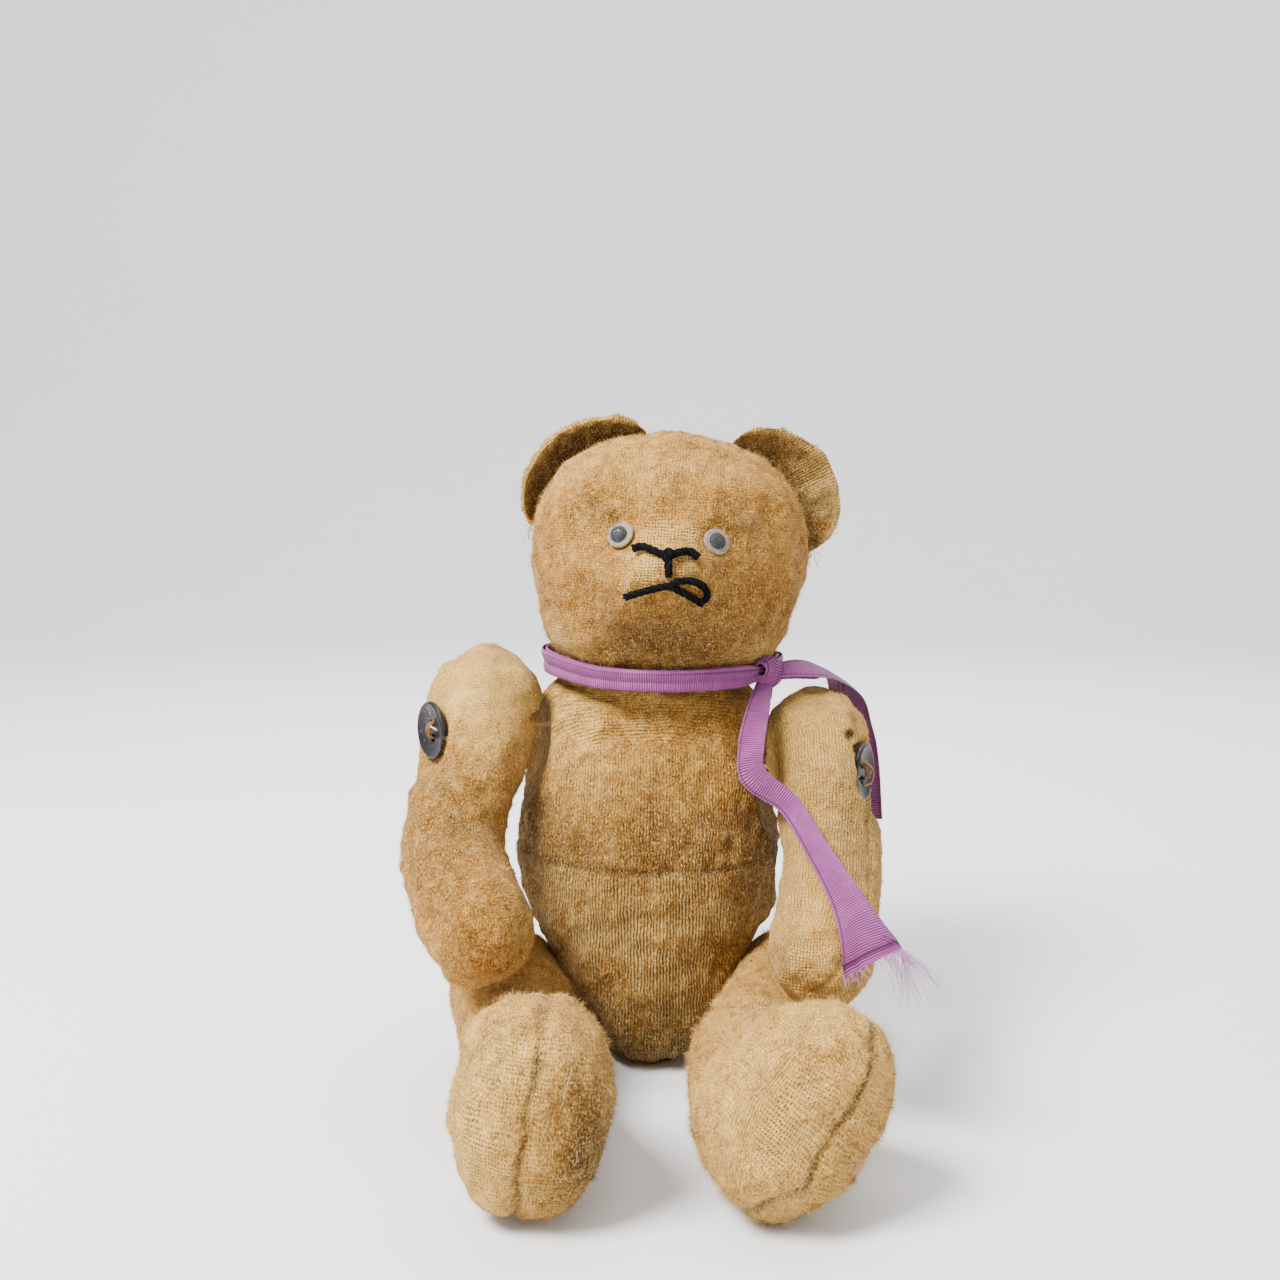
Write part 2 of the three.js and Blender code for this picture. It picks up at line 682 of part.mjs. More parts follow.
// A cupped half disc. Each section is an arc that leaves the head outwards and curls to the front.
function ear({ side, from, length, curl, reach, forward }) {
  const [lengthSteps, arcSteps] = [15, 6];
  const rings = Array.from({ length: lengthSteps }, (_, i) => {
    const u = (1 - Math.cos((Math.PI * (i + 0.4)) / (lengthSteps - 0.2))) / 2;
    const angle = side * (from + u * length);
    const outward = vector(Math.sin(angle), 0, Math.cos(angle));
    const height = reach * Math.sin(Math.PI * u) ** 0.55;
    const bend = height / curl;
    const base = along(vector(0, forward(u), EAR_MIDDLE), outward, outlineRadius(angle) + GAP + 0.5);
    const edge = (share, face) => {
      const turn = curl * share;
      const thickness = EAR_THICKNESS * (1 - 0.35 * share) * Math.sin(Math.PI * u) ** 0.3 * 0.5 * face;
      return along(base, outward, bend * Math.sin(turn) + thickness * Math.sin(turn)).add(
        vector(0, -bend * (1 - Math.cos(turn)) + thickness * Math.cos(turn), 0),
      );
    };
    const shares = Array.from({ length: arcSteps + 1 }, (_, j) => j / arcSteps);
    return [...shares.map((share) => edge(share, 1)), ...shares.reverse().map((share) => edge(share, -1))];
  });
  return loft(rings);
}

// Each ear starts at an angle from upright and runs round the head by its length.
const EAR_RIGHT = {
  side: -1,
  from: 16 * DEGREE,
  length: 68 * DEGREE,
  curl: 1.9,
  reach: EAR_REACH - 1.5,
  forward: (u) => 6 - 6 * (2 * u - 1) ** 2,
};
const EAR_LEFT = {
  side: 1,
  from: 27 * DEGREE,
  length: 60 * DEGREE,
  curl: 0.9,
  reach: EAR_REACH,
  forward: (u) => 7 - 8 * (2 * u - 1) ** 2,
};

// ---------------------------------------------------------------- ribbon

// How far forward a strip's section must move so that it clears the skins behind it.
function clearance(centre, wide, halfWidth, skins) {
  const ray = new THREE.Raycaster();
  const shares = [-1, -0.5, 0, 0.5, 1];
  const moves = shares.map((share) => {
    const place = along(centre, wide, share * halfWidth);
    ray.set(vector(place.x, -300, place.z), vector(0, 1, 0));
    const [hit] = ray.intersectObjects(skins);
    return hit ? place.y - (hit.point.y - RIBBON_THICKNESS) : 0;
  });
  return Math.max(0, ...moves);
}

// A flat strip along a smooth curve: each point gives a place, the way across the ribbon and its width.
function strip(points, thickness, steps, skins = []) {
  const path = new THREE.CatmullRomCurve3(points.map((point) => point.at));
  const across = new THREE.CatmullRomCurve3(points.map((point) => point.across));
  const width = smoothProfile(points.map((point, i) => [i / (points.length - 1), point.width]));
  const sections = Array.from({ length: steps + 1 }, (_, i) => {
    const u = i / steps;
    const centre = path.getPoint(u);
    const forward = path.getTangent(u);
    const wide = across.getPoint(u);
    wide.addScaledVector(forward, -wide.dot(forward)).normalize();
    return { centre, forward, wide, half: width(u) / 2 };
  });
  const moves = sections.map(({ centre, wide, half }) => clearance(centre, wide, half, skins));
  const smoothMove = (i) => {
    const near = [-2, -1, 0, 1, 2].map((step) => Math.min(steps, Math.max(0, i + step)));
    const highest = near.map((j) => Math.max(moves[Math.max(0, j - 1)], moves[j], moves[Math.min(steps, j + 1)]));
    return highest.reduce((sum, move) => sum + move, 0) / near.length;
  };
  const rings = sections.map(({ centre, forward, wide, half }, i) => {
    centre.y -= smoothMove(i);
    const thick = new THREE.Vector3().crossVectors(forward, wide);
    const [w, t] = [half, thickness / 2];
    return [[w, t], [-w, t], [-w, -t], [w, -t]].map(([a, b]) =>
      centre.clone().addScaledVector(wide, a).addScaledVector(thick, b),
    );
  });
  return loft(rings);
}

const KNOT_ANGLE = 56 * DEGREE; // round the neck from the front, towards the bear's left
const COLLAR = { middle: vector(4.3, 17, 0), halfWidth: 38.3, halfDepth: 34.8, height: 5.8 };
const collarHeight = smoothProfile([
  [-180, 123.5], [-110, 125.2], [-70, 124.8], [-30, 122], [0, 121.4], [30, 121.8], [56, 122.6], [110, 123.4], [180, 123.5],
]);

function collarPlace(angle) {
  const turn = THREE.MathUtils.euclideanModulo(angle / DEGREE + 180, 360) - 180;
  return vector(
    COLLAR.middle.x + COLLAR.halfWidth * Math.sin(angle),
    COLLAR.middle.y - COLLAR.halfDepth * Math.cos(angle),
    collarHeight(turn),
  );
}

function neckRibbon() {
  const turns = 25;
  const round = Array.from({ length: turns }, (_, i) => {
    const angle = KNOT_ANGLE + ((i + 0.15) / (turns - 0.7)) * 2 * Math.PI;
    return { at: collarPlace(angle), across: upward, width: COLLAR.height };
  });
  const knot = new THREE.SphereGeometry(1, 16, 12);
  knot.scale(5.6, 4.2, 5);
  const knotPlace = collarPlace(KNOT_ANGLE).add(vector(1.2, -1.4, 0));
  knot.translate(knotPlace.x, knotPlace.y, knotPlace.z);
  const frontTail = [
    { at: vector(36.4, -5.5, 119), across: vector(0.95, -0.3, 0.1), width: 7 },
    { at: vector(33, -16, 111), across: vector(0.95, -0.3, 0.1), width: 10 },
    { at: vector(30.6, -23, 102), across: vector(0.93, -0.35, 0.1), width: 10.5 },
    { at: vector(30.2, -27, 94.5), across: vector(0.75, -0.3, 0.66), width: 11 },
    { at: vector(41.2, -29, 86.2), across: vector(0.75, -0.2, 0.66), width: 9 },
    { at: vector(47.5, -38, 77), across: vector(0.8, -0.1, 0.6), width: 8.5 },
    { at: vector(53, -54, 67.6), across: vector(0.83, -0.1, 0.55), width: 10.5 },
    { at: vector(56, -65, 60.5), across: vector(0.86, 0, 0.5), width: 14 },
    { at: vector(58.3, -78, 53.9), across: vector(0.854, 0, 0.52), width: RIBBON_WIDTH - 1.7 },
  ];
  const backTail = [
    { at: vector(38.5, -2.5, 122.5), across: vector(0, 0.6, 0.8), width: 7 },
    { at: vector(47, -3, 123.6), across: vector(-0.2, 0.8, 0.5), width: 11 },
    { at: vector(56, 5, 122.6), across: vector(-0.4, 0.9, 0.1), width: 15 },
    { at: vector(62, 17, 115.5), across: vector(-0.7, 0.7, 0), width: 17 },
    { at: vector(64, 24, 102), across: vector(-0.95, 0.3, 0), width: 19 },
    { at: vector(65, 24, 86), across: vector(-0.95, 0.3, 0), width: RIBBON_WIDTH },
    { at: vector(65.5, 21, 70), across: vector(-0.95, 0.3, 0), width: RIBBON_WIDTH },
  ];
  return join(
    strip(round, 1.8, 60),
    knot,
    strip(frontTail, RIBBON_THICKNESS, 26, skinsBehind()),
    strip(backTail, RIBBON_THICKNESS, 22),
  );
}

// The skins that the ribbon's front end lies on.
function skinsBehind() {
  return [torsoBody(), armLeft.skin({})].map((geometry) => new THREE.Mesh(geometry));
}

// The head's skin carried into the bear's frame.
function inBearFrame(geometry) {
  head.updateMatrixWorld(true);
  return geometry.applyMatrix4(head.matrixWorld);
}

// ---------------------------------------------------------------- the bear

const bear = new THREE.Group();
const head = new THREE.Group();
head.position.copy(NECK);
head.rotation.set(0, HEAD_ROLL, HEAD_TURN);
bear.add(head);

function add(group, name, geometry, material) {
  const mesh = new THREE.Mesh(geometry, material());
  mesh.name = name;
  group.add(mesh);
}

add(
  bear,
  'torso',
  cut(
    torsoBody(),
    socket(SHOULDER_RIGHT, shoulderOutRight, 22.5, 33),
    socket(SHOULDER_LEFT, shoulderOutLeft, 21.5, 33),
    socket(HIP_RIGHT, hipOutRight, 20, 24),
    socket(HIP_LEFT, hipOutLeft, 20, 24),
    ...[armRight, armLeft, legRight, legLeft].map((limb) => limb.skin({ extra: 2 * GAP })),
    ...hipRoomRight.body,
    ...hipRoomLeft.body,
    ...neckRoomInTorso.body,
    stringBore,
  ),
  plush,
);
add(bear, 'hip_body_disc_right', disc(HIP_RIGHT, hipOutRight, HIP_JOINT.bodyDisc, HIP_DISC_RADIUS), fibreBoard);
add(bear, 'hip_body_disc_left', disc(HIP_LEFT, hipOutLeft, HIP_JOINT.bodyDisc, HIP_DISC_RADIUS), fibreBoard);
add(bear, 'hip_pin_right', cotterPin(HIP_RIGHT, hipOutRight, HIP_JOINT), steelWire);
add(bear, 'hip_pin_left', cotterPin(HIP_LEFT, hipOutLeft, HIP_JOINT), steelWire);
add(bear, 'neck_body_disc', disc(NECK, neckAxis, NECK_JOINT.bodyDisc, DISC_RADIUS - 2), fibreBoard);
add(bear, 'neck_pin', cotterPin(NECK, neckAxis, NECK_JOINT), steelWire);
add(bear, 'shoulder_string', tube(stringRoute, STRING_RADIUS, { sides: 6, steps: 40 }), tanThread);
add(
  bear,
  'neck_ribbon',
  cut(
    neckRibbon(),
    torsoBody(GAP),
    inBearFrame(headBody(GAP)),
    armRight.skin({ extra: GAP }),
    armLeft.skin({ extra: GAP }),
  ),
  violetRibbon,
);

for (const [side, outward, buttonOut, shoulder, seat, limb] of [
  ['right', shoulderOutRight, buttonOutRight, SHOULDER_RIGHT, BUTTON_SEAT_RIGHT, armRight],
  ['left', shoulderOutLeft, buttonOutLeft, SHOULDER_LEFT, BUTTON_SEAT_LEFT, armLeft],
]) {
  add(bear, `arm_${side}`, cut(limb.skin(), ...armRoom(shoulder, outward, buttonOut, seat)), plush);
  add(bear, `arm_button_${side}`, button(shoulder, buttonOut, seat), darkMetal);
  add(bear, `button_thread_${side}`, buttonThread(shoulder, buttonOut, seat), tanThread);
}

for (const [side, outward, hip, limb, room] of [
  ['right', hipOutRight, HIP_RIGHT, legRight, hipRoomRight],
  ['left', hipOutLeft, HIP_LEFT, legLeft, hipRoomLeft],
]) {
  add(bear, `leg_${side}`, cut(limb.skin({ steps: 24 }), ...room.limb), plushPale);
  add(bear, `leg_disc_${side}`, disc(hip, outward, HIP_JOINT.limbDisc, HIP_DISC_RADIUS), fibreBoard);
}

add(
  head,
  'head',
  cut(
    headBody(),
    ...neckRoom.limb,
    ...Object.values(EYES).flatMap(eyeRoom),
    noseThread(GAP),
    mouthThread(GAP),
  ),
  plush,
);
add(head, 'head_disc', disc(vector(0, 0, 0), upward, NECK_JOINT.limbDisc, DISC_RADIUS), fibreBoard);
add(head, 'nose_thread', noseThread(), blackThread);
add(head, 'mouth_thread', mouthThread(), blackThread);
add(head, 'ear_right', ear(EAR_RIGHT), plush);
add(head, 'ear_left', ear(EAR_LEFT), plush);
for (const [side, x] of Object.entries(EYES)) {
  add(head, `eye_${side}`, lens(x), clearGlass);
  add(head, `pupil_${side}`, pupil(x), blackGlass);
  add(head, `eye_shank_${side}`, shank(x), steelWire);
}

export default bear;
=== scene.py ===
"""A worn jointed teddy bear, sitting with its legs stretched out and a ribbon tied round its neck.

Lengths are in millimetres until a mesh is made. +X is towards the bear's own left, it faces -Y, and +Z is up.
"""

import json
import logging
import math
from collections.abc import Callable, Sequence
from dataclasses import dataclass, field
from enum import Enum

import bpy
import numpy as np
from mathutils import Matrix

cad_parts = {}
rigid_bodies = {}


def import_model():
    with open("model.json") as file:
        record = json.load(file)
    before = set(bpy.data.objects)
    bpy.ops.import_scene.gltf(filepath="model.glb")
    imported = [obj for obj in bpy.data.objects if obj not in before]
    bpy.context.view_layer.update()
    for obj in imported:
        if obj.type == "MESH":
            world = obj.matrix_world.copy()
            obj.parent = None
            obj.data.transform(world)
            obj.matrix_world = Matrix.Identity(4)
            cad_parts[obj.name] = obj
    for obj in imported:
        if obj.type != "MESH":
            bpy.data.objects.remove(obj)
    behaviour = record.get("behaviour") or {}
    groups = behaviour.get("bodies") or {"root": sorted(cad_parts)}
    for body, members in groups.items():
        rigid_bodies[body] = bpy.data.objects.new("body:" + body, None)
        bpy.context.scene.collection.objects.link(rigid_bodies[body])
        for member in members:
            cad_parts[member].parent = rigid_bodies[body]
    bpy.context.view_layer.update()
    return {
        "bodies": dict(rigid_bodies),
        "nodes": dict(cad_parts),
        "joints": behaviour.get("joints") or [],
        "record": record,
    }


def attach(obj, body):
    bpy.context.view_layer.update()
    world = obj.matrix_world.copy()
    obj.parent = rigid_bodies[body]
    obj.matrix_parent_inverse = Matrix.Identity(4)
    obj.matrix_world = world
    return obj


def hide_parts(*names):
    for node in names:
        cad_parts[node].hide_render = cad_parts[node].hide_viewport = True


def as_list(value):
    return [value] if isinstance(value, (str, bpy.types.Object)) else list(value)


log = logging.getLogger("bear")

MM = 0.001
TAU = 2 * math.pi
UP = (0.0, 0.0, 1.0)

Array = np.ndarray
Pairs = Sequence[tuple[float, float]]
Colour = tuple[float, float, float]
Place = tuple[float, float, float]


# ------------------------------------------------------------------------------------------------ curves


def profile(pairs: Pairs) -> Callable[[Array], Array]:
    """Makes a smooth curve through pairs: a cubic between neighbours, sloped as the pairs on either side are.

    Args:
        pairs: (position, value) pairs in order.

    Returns:
        A function from positions to values.
    """
    table = np.asarray(pairs, float)
    xs, ys = table[:, 0], table[:, 1]
    before = np.maximum(np.arange(len(xs)) - 1, 0)
    after = np.minimum(np.arange(len(xs)) + 1, len(xs) - 1)
    slopes = (ys[after] - ys[before]) / (xs[after] - xs[before])

    def value(x: Array) -> Array:
        """Value of the curve at x."""
        i = np.clip(np.searchsorted(xs, x) - 1, 0, len(xs) - 2)
        width = xs[i + 1] - xs[i]
        f = np.clip((x - xs[i]) / width, 0, 1)
        g = 1 - f
        start = ys[i] * (1 + 2 * f) * g * g + slopes[i] * width * f * g * g
        return start + ys[i + 1] * (3 - 2 * f) * f * f - slopes[i + 1] * width * g * f * f

    return value


def oval_share(distance: Array, squareness: float) -> Array:
    """Height of an oval at a distance from its middle: the squareness-th root of one less the distance's power."""
    share = np.minimum(np.abs(distance), 1)
    return (1 - share**squareness) ** (1 / squareness)


def oval_point(angle: Array, squareness: float) -> tuple[Array, Array]:
    """Across and along places on an oval: cosine and sine, each raised to two over the squareness."""
    power = 2 / squareness
    cos, sin = np.cos(angle), np.sin(angle)
    return np.sign(cos) * np.abs(cos) ** power, np.sign(sin) * np.abs(sin) ** power


def smoothstep(x: Array, low: float, high: float) -> Array:
    """Zero below low, one above high, and three squares less two cubes of the share between."""
    share = np.clip((x - low) / (high - low), 0, 1)
    return share * share * (3 - 2 * share)


def unit(vectors: Array) -> Array:
    """Vectors scaled to length one."""
    return vectors / np.maximum(np.linalg.norm(vectors, axis=-1, keepdims=True), 1e-9)


def smooth_path(points: Sequence[Sequence[float]], count: int) -> Array:
    """Runs a curve through points, its spans timed by the square root of their lengths.

    Args:
        points: places that the curve passes through.
        count: how many places to give, evenly spaced by length.

    Returns:
        An array of places, count by 3.
    """
    p = np.asarray(points, float)
    p = np.vstack([2 * p[0] - p[1], p, 2 * p[-1] - p[-2]])
    f = np.linspace(0, 1, 80)[:, None]
    spans = []
    for a, b, c, d in zip(p[:-3], p[1:-2], p[2:-1], p[3:]):
        before, here, after = (max(np.linalg.norm(q - r) ** 0.5, 1e-6) for q, r in ((b, a), (c, b), (d, c)))
        start = ((b - a) / before - (c - a) / (before + here) + (c - b) / here) * here
        end = ((c - b) / here - (d - b) / (here + after) + (d - c) / after) * here
        bend = (-3 * b + 3 * c - 2 * start - end) * f**2 + (2 * b - 2 * c + start + end) * f**3
        spans.append(b + start * f + bend)
    dense = np.vstack(spans)
    length = distances(dense)
    return on_path(dense, length, np.linspace(0, length[-1], count))


def distances(path: Array) -> Array:
    """Distance of each place of a path from its start."""
    return np.concatenate([[0], np.linalg.norm(np.diff(path, axis=0), axis=1).cumsum()])


def on_path(path: Array, at: Array, where: Array) -> Array:
    """Values of a path, given at distances, at other distances."""
    return np.stack([np.interp(where, at, path[:, k]) for k in range(path.shape[1])], axis=-1)


def turn_about(vectors: Array, axis: Array, angle: Array) -> Array:
    """Vectors turned about unit axes by the right-hand rule: the parts along, across and square to the axis, summed."""
    angle = np.asarray(angle)[..., None]
    along = (vectors * axis).sum(-1, keepdims=True) * axis
    return along + (vectors - along) * np.cos(angle) + np.cross(axis, vectors) * np.sin(angle)


def waves(points: Array, wavelength: float, seed: int, count: int = 18) -> Array:
    """A smooth random field of about unit size: a sum of sine waves in random directions.

    Args:
        points: places, in any shape that ends in 3.
        wavelength: the waves' usual length.
        seed: fixes the random draws.
        count: how many waves are summed.

    Returns:
        The field at each place.
    """
    rng = np.random.default_rng(seed)
    direction = unit(rng.normal(size=(count, 3))) * (TAU / wavelength) * rng.uniform(0.6, 1.5, (count, 1))
    phase = rng.uniform(0, TAU, count)
    return np.sin(points @ direction.T + phase).sum(-1) * math.sqrt(2 / count)


# ------------------------------------------------------------------------------------------------ meshes


def quads_round(index: Array) -> Array:
    """Faces between rings of vertex numbers, each ring closed: here, beside, beside above, above."""
    beside = np.roll(index, -1, axis=-1)
    low, high = index[..., :-1, :], index[..., 1:, :]
    return np.stack([low, beside[..., :-1, :], beside[..., 1:, :], high], axis=-1).reshape(-1, 4)


def quad_corners(grid: Array) -> Array:
    """Each grid cell's four corners in the faces' order, for a grid of rows by columns by 2 or of numbers."""
    corners = [grid[:-1, :-1], grid[:-1, 1:], grid[1:, 1:], grid[1:, :-1]]
    return np.stack(corners, axis=2)


def new_mesh(
    name: str,
    points: Array,
    faces: list[list[int]],
    loop_maps: dict[str, Array] | None = None,
    values: dict[str, Array] | None = None,
) -> bpy.types.Object:
    """Makes a smooth-shaded mesh object at the origin.

    Args:
        name: the object's name.
        points: vertices in millimetres, n by 3.
        faces: vertex numbers of each face.
        loop_maps: UV maps, each with one (u, v) for every corner of every face in order.
        values: numbers on the vertices, by attribute name.

    Returns:
        The object, in metres.
    """
    mesh = bpy.data.meshes.new(name)
    mesh.from_pydata((points * MM).tolist(), [], faces)
    for key, corners in (loop_maps or {}).items():
        layer = mesh.uv_layers.new(name=key)
        layer.data.foreach_set("uv", np.asarray(corners, np.float32).ravel())
    for key, numbers in (values or {}).items():
        attribute = mesh.attributes.new(key, "FLOAT", "POINT")
        attribute.data.foreach_set("value", np.asarray(numbers, np.float32).ravel())
    mesh.polygons.foreach_set("use_smooth", [True] * len(mesh.polygons))
    mesh.update()
    piece = bpy.data.objects.new(name, mesh)
    bpy.context.scene.collection.objects.link(piece)
    return piece


def dress(piece: bpy.types.Object, material: bpy.types.Material) -> bpy.types.Object:
    """Gives a piece one material in place of those it has."""
    piece.data.materials.clear()
    piece.data.materials.append(material)
    return piece


@dataclass
class Skin:
    """A closed skin of rings: rows of places, each row going once round, with both ends drawn to a point.

    Attributes:
        points: places, rows by columns by 3. Columns go round so that faces point outwards.
        along: distance of each place from the skin's start, rows by columns.
        round: distance of each place round its ring from the reference column, rows by columns plus one.
        values: numbers on the places, by attribute name, each rows by columns.
    """

    points: Array
    along: Array
    round: Array
    values: dict[str, Array] = field(default_factory=dict)

    def normals(self) -> Array:
        """Outward directions: the cross product of the steps round and along."""
        ring = np.roll(self.points, -1, axis=1) - np.roll(self.points, 1, axis=1)
        rise = np.gradient(self.points, axis=0)
        return unit(np.cross(ring, rise))

    def push(self, distance: Array) -> None:
        """Moves each place outwards by a distance."""
        self.points = self.points + self.normals() * np.asarray(distance)[..., None]

    def cap_map(self) -> tuple[Array, Array]:
        """Flat map round the far end: distance from the end's tip, laid out at the ring's own angle.

        Returns:
            The map, rows by columns plus one by 2, and the weight it has on each place.
        """
        columns = self.along.shape[1]
        reach = self.along[-1:] - self.along + 0.01
        angle = np.linspace(0, TAU, columns + 1)[None]
        reach = np.concatenate([reach, reach[:, :1]], axis=1)
        flat = np.stack([reach * np.cos(angle), reach * np.sin(angle)], axis=-1)
        return flat, 1 - smoothstep(reach[:, :-1], 17, 25)

    def mesh(self, name: str) -> bpy.types.Object:
        """Makes the object, with the maps Cloth and Cap in metres and the skin's values."""
        rows, columns = self.points.shape[:2]
        here = np.arange(rows * columns).reshape(rows, columns)
        beside = np.roll(here, -1, axis=1)
        quads = quads_round(here)
        first, last = rows * columns, rows * columns + 1
        start = np.stack([np.full(columns, first), beside[0], here[0]], axis=-1)
        end = np.stack([np.full(columns, last), here[-1], beside[-1]], axis=-1)
        points = np.vstack([self.points.reshape(-1, 3), self.points[0].mean(0), self.points[-1].mean(0)])
        cloth = np.stack([self.round, np.concatenate([self.along, self.along[:, :1]], axis=1)], axis=-1)
        cap, weight = self.cap_map()
        maps = {key: self.corners(flat * MM) for key, flat in (("Cloth", cloth), ("Cap", cap))}
        values = {
            key: np.concatenate([v.ravel(), [v[0].mean(), v[-1].mean()]])
            for key, v in (self.values | {"cap": weight}).items()
        }
        return new_mesh(name, points, quads.tolist() + start.tolist() + end.tolist(), maps, values)

    @staticmethod
    def corners(flat: Array) -> Array:
        """A map's value at each face corner, in the order that mesh() makes faces."""
        quads = quad_corners(flat).reshape(-1, 2)
        tip = (flat[0, :-1] + flat[0, 1:]) / 2
        start = np.stack([tip, flat[0, 1:], flat[0, :-1]], axis=1).reshape(-1, 2)
        tip = (flat[-1, :-1] + flat[-1, 1:]) / 2
        end = np.stack([tip, flat[-1, :-1], flat[-1, 1:]], axis=1).reshape(-1, 2)
        return np.vstack([quads, start, end])

    @classmethod
    def of(cls, points: Array, origin_column: int = 0) -> "Skin":
        """Measures a grid of places: distances along each column, and round each ring from one column."""
        steps = np.linalg.norm(np.diff(points, axis=0), axis=-1)
        along = np.concatenate([np.zeros((1, points.shape[1])), np.cumsum(steps, axis=0)])
        along = np.repeat(along.mean(1, keepdims=True), points.shape[1], axis=1)
        wrapped = np.concatenate([points, points[:, :1]], axis=1)
        steps = np.linalg.norm(np.diff(wrapped, axis=1), axis=-1)
        ring = np.concatenate([np.zeros((len(points), 1)), np.cumsum(steps, axis=1)], axis=1)
        return cls(points, along, ring - ring[:, origin_column : origin_column + 1])


def tubes(name: str, paths: Array, radii: Array | float, sides: int = 6) -> bpy.types.Object:
    """Makes round threads along paths, closed at both ends.

    Each ring is the path's place plus the radius times the cosine and sine of the angle round, along two directions
    square to the path.

    Args:
        name: the object's name.
        paths: places, threads by steps by 3.
        radii: one radius, or one for every place.
        sides: points round each thread.

    Returns:
        One object with all the threads, with a Cloth map of distance round and along.
    """
    threads, steps = paths.shape[:2]
    forward = unit(np.gradient(paths, axis=1))
    helper = np.where(np.abs(forward[:, :1, 2:]) > 0.9, [[[1.0, 0.0, 0.0]]], [[list(UP)]])
    first = unit(np.cross(forward, helper))
    second = np.cross(forward, first)
    angle = np.linspace(0, TAU, sides, endpoint=False)[:, None]
    spread = np.broadcast_to(radii, paths.shape[:2])[:, :, None, None]
    ring = first[:, :, None] * np.cos(angle) + second[:, :, None] * np.sin(angle)
    points = paths[:, :, None] + spread * ring
    index = np.arange(threads * steps * sides).reshape(threads, steps, sides)
    quads = quads_round(index)
    ends = np.vstack([index[:, 0, ::-1], index[:, -1]])
    steps_long = np.linalg.norm(np.diff(paths, axis=1), axis=-1)
    length = np.concatenate([np.zeros((threads, 1)), steps_long.cumsum(1)], axis=1)
    u = np.arange(sides + 1) / sides * TAU * 0.4
    low = np.stack(np.broadcast_arrays(u[None, None, :], length[:, :, None]), axis=-1) * MM
    corners = np.stack([low[:, :-1, :-1], low[:, :-1, 1:], low[:, 1:, 1:], low[:, 1:, :-1]], axis=3).reshape(-1, 2)
    corners = np.vstack([corners, np.zeros((len(ends) * sides, 2))])
    shade = np.repeat(np.random.default_rng(threads).uniform(-1, 1, threads), steps * sides)
    return new_mesh(name, points.reshape(-1, 3), quads.tolist() + ends.tolist(), {"Cloth": corners}, {"shade": shade})


def twisted(path: Array, radius: float, strands: int, pitch: float) -> Array:
    """Paths of strands twisted round one path: each goes round it once in every pitch of length.

    Args:
        path: places along the yarn's middle.
        radius: distance of each strand from the middle.
        strands: how many strands.
        pitch: length of one twist.

    Returns:
        Places, strands by steps by 3.
    """
    forward = unit(np.gradient(path, axis=0))
    first = unit(np.cross(forward, np.where(np.abs(forward[:, 2:]) > 0.9, [[1.0, 0, 0]], [list(UP)])))
    second = np.cross(forward, first)
    angle = (distances(path) / pitch * TAU)[None] + np.arange(strands)[:, None] * TAU / strands
    return path[None] + radius * (np.cos(angle)[..., None] * first + np.sin(angle)[..., None] * second)


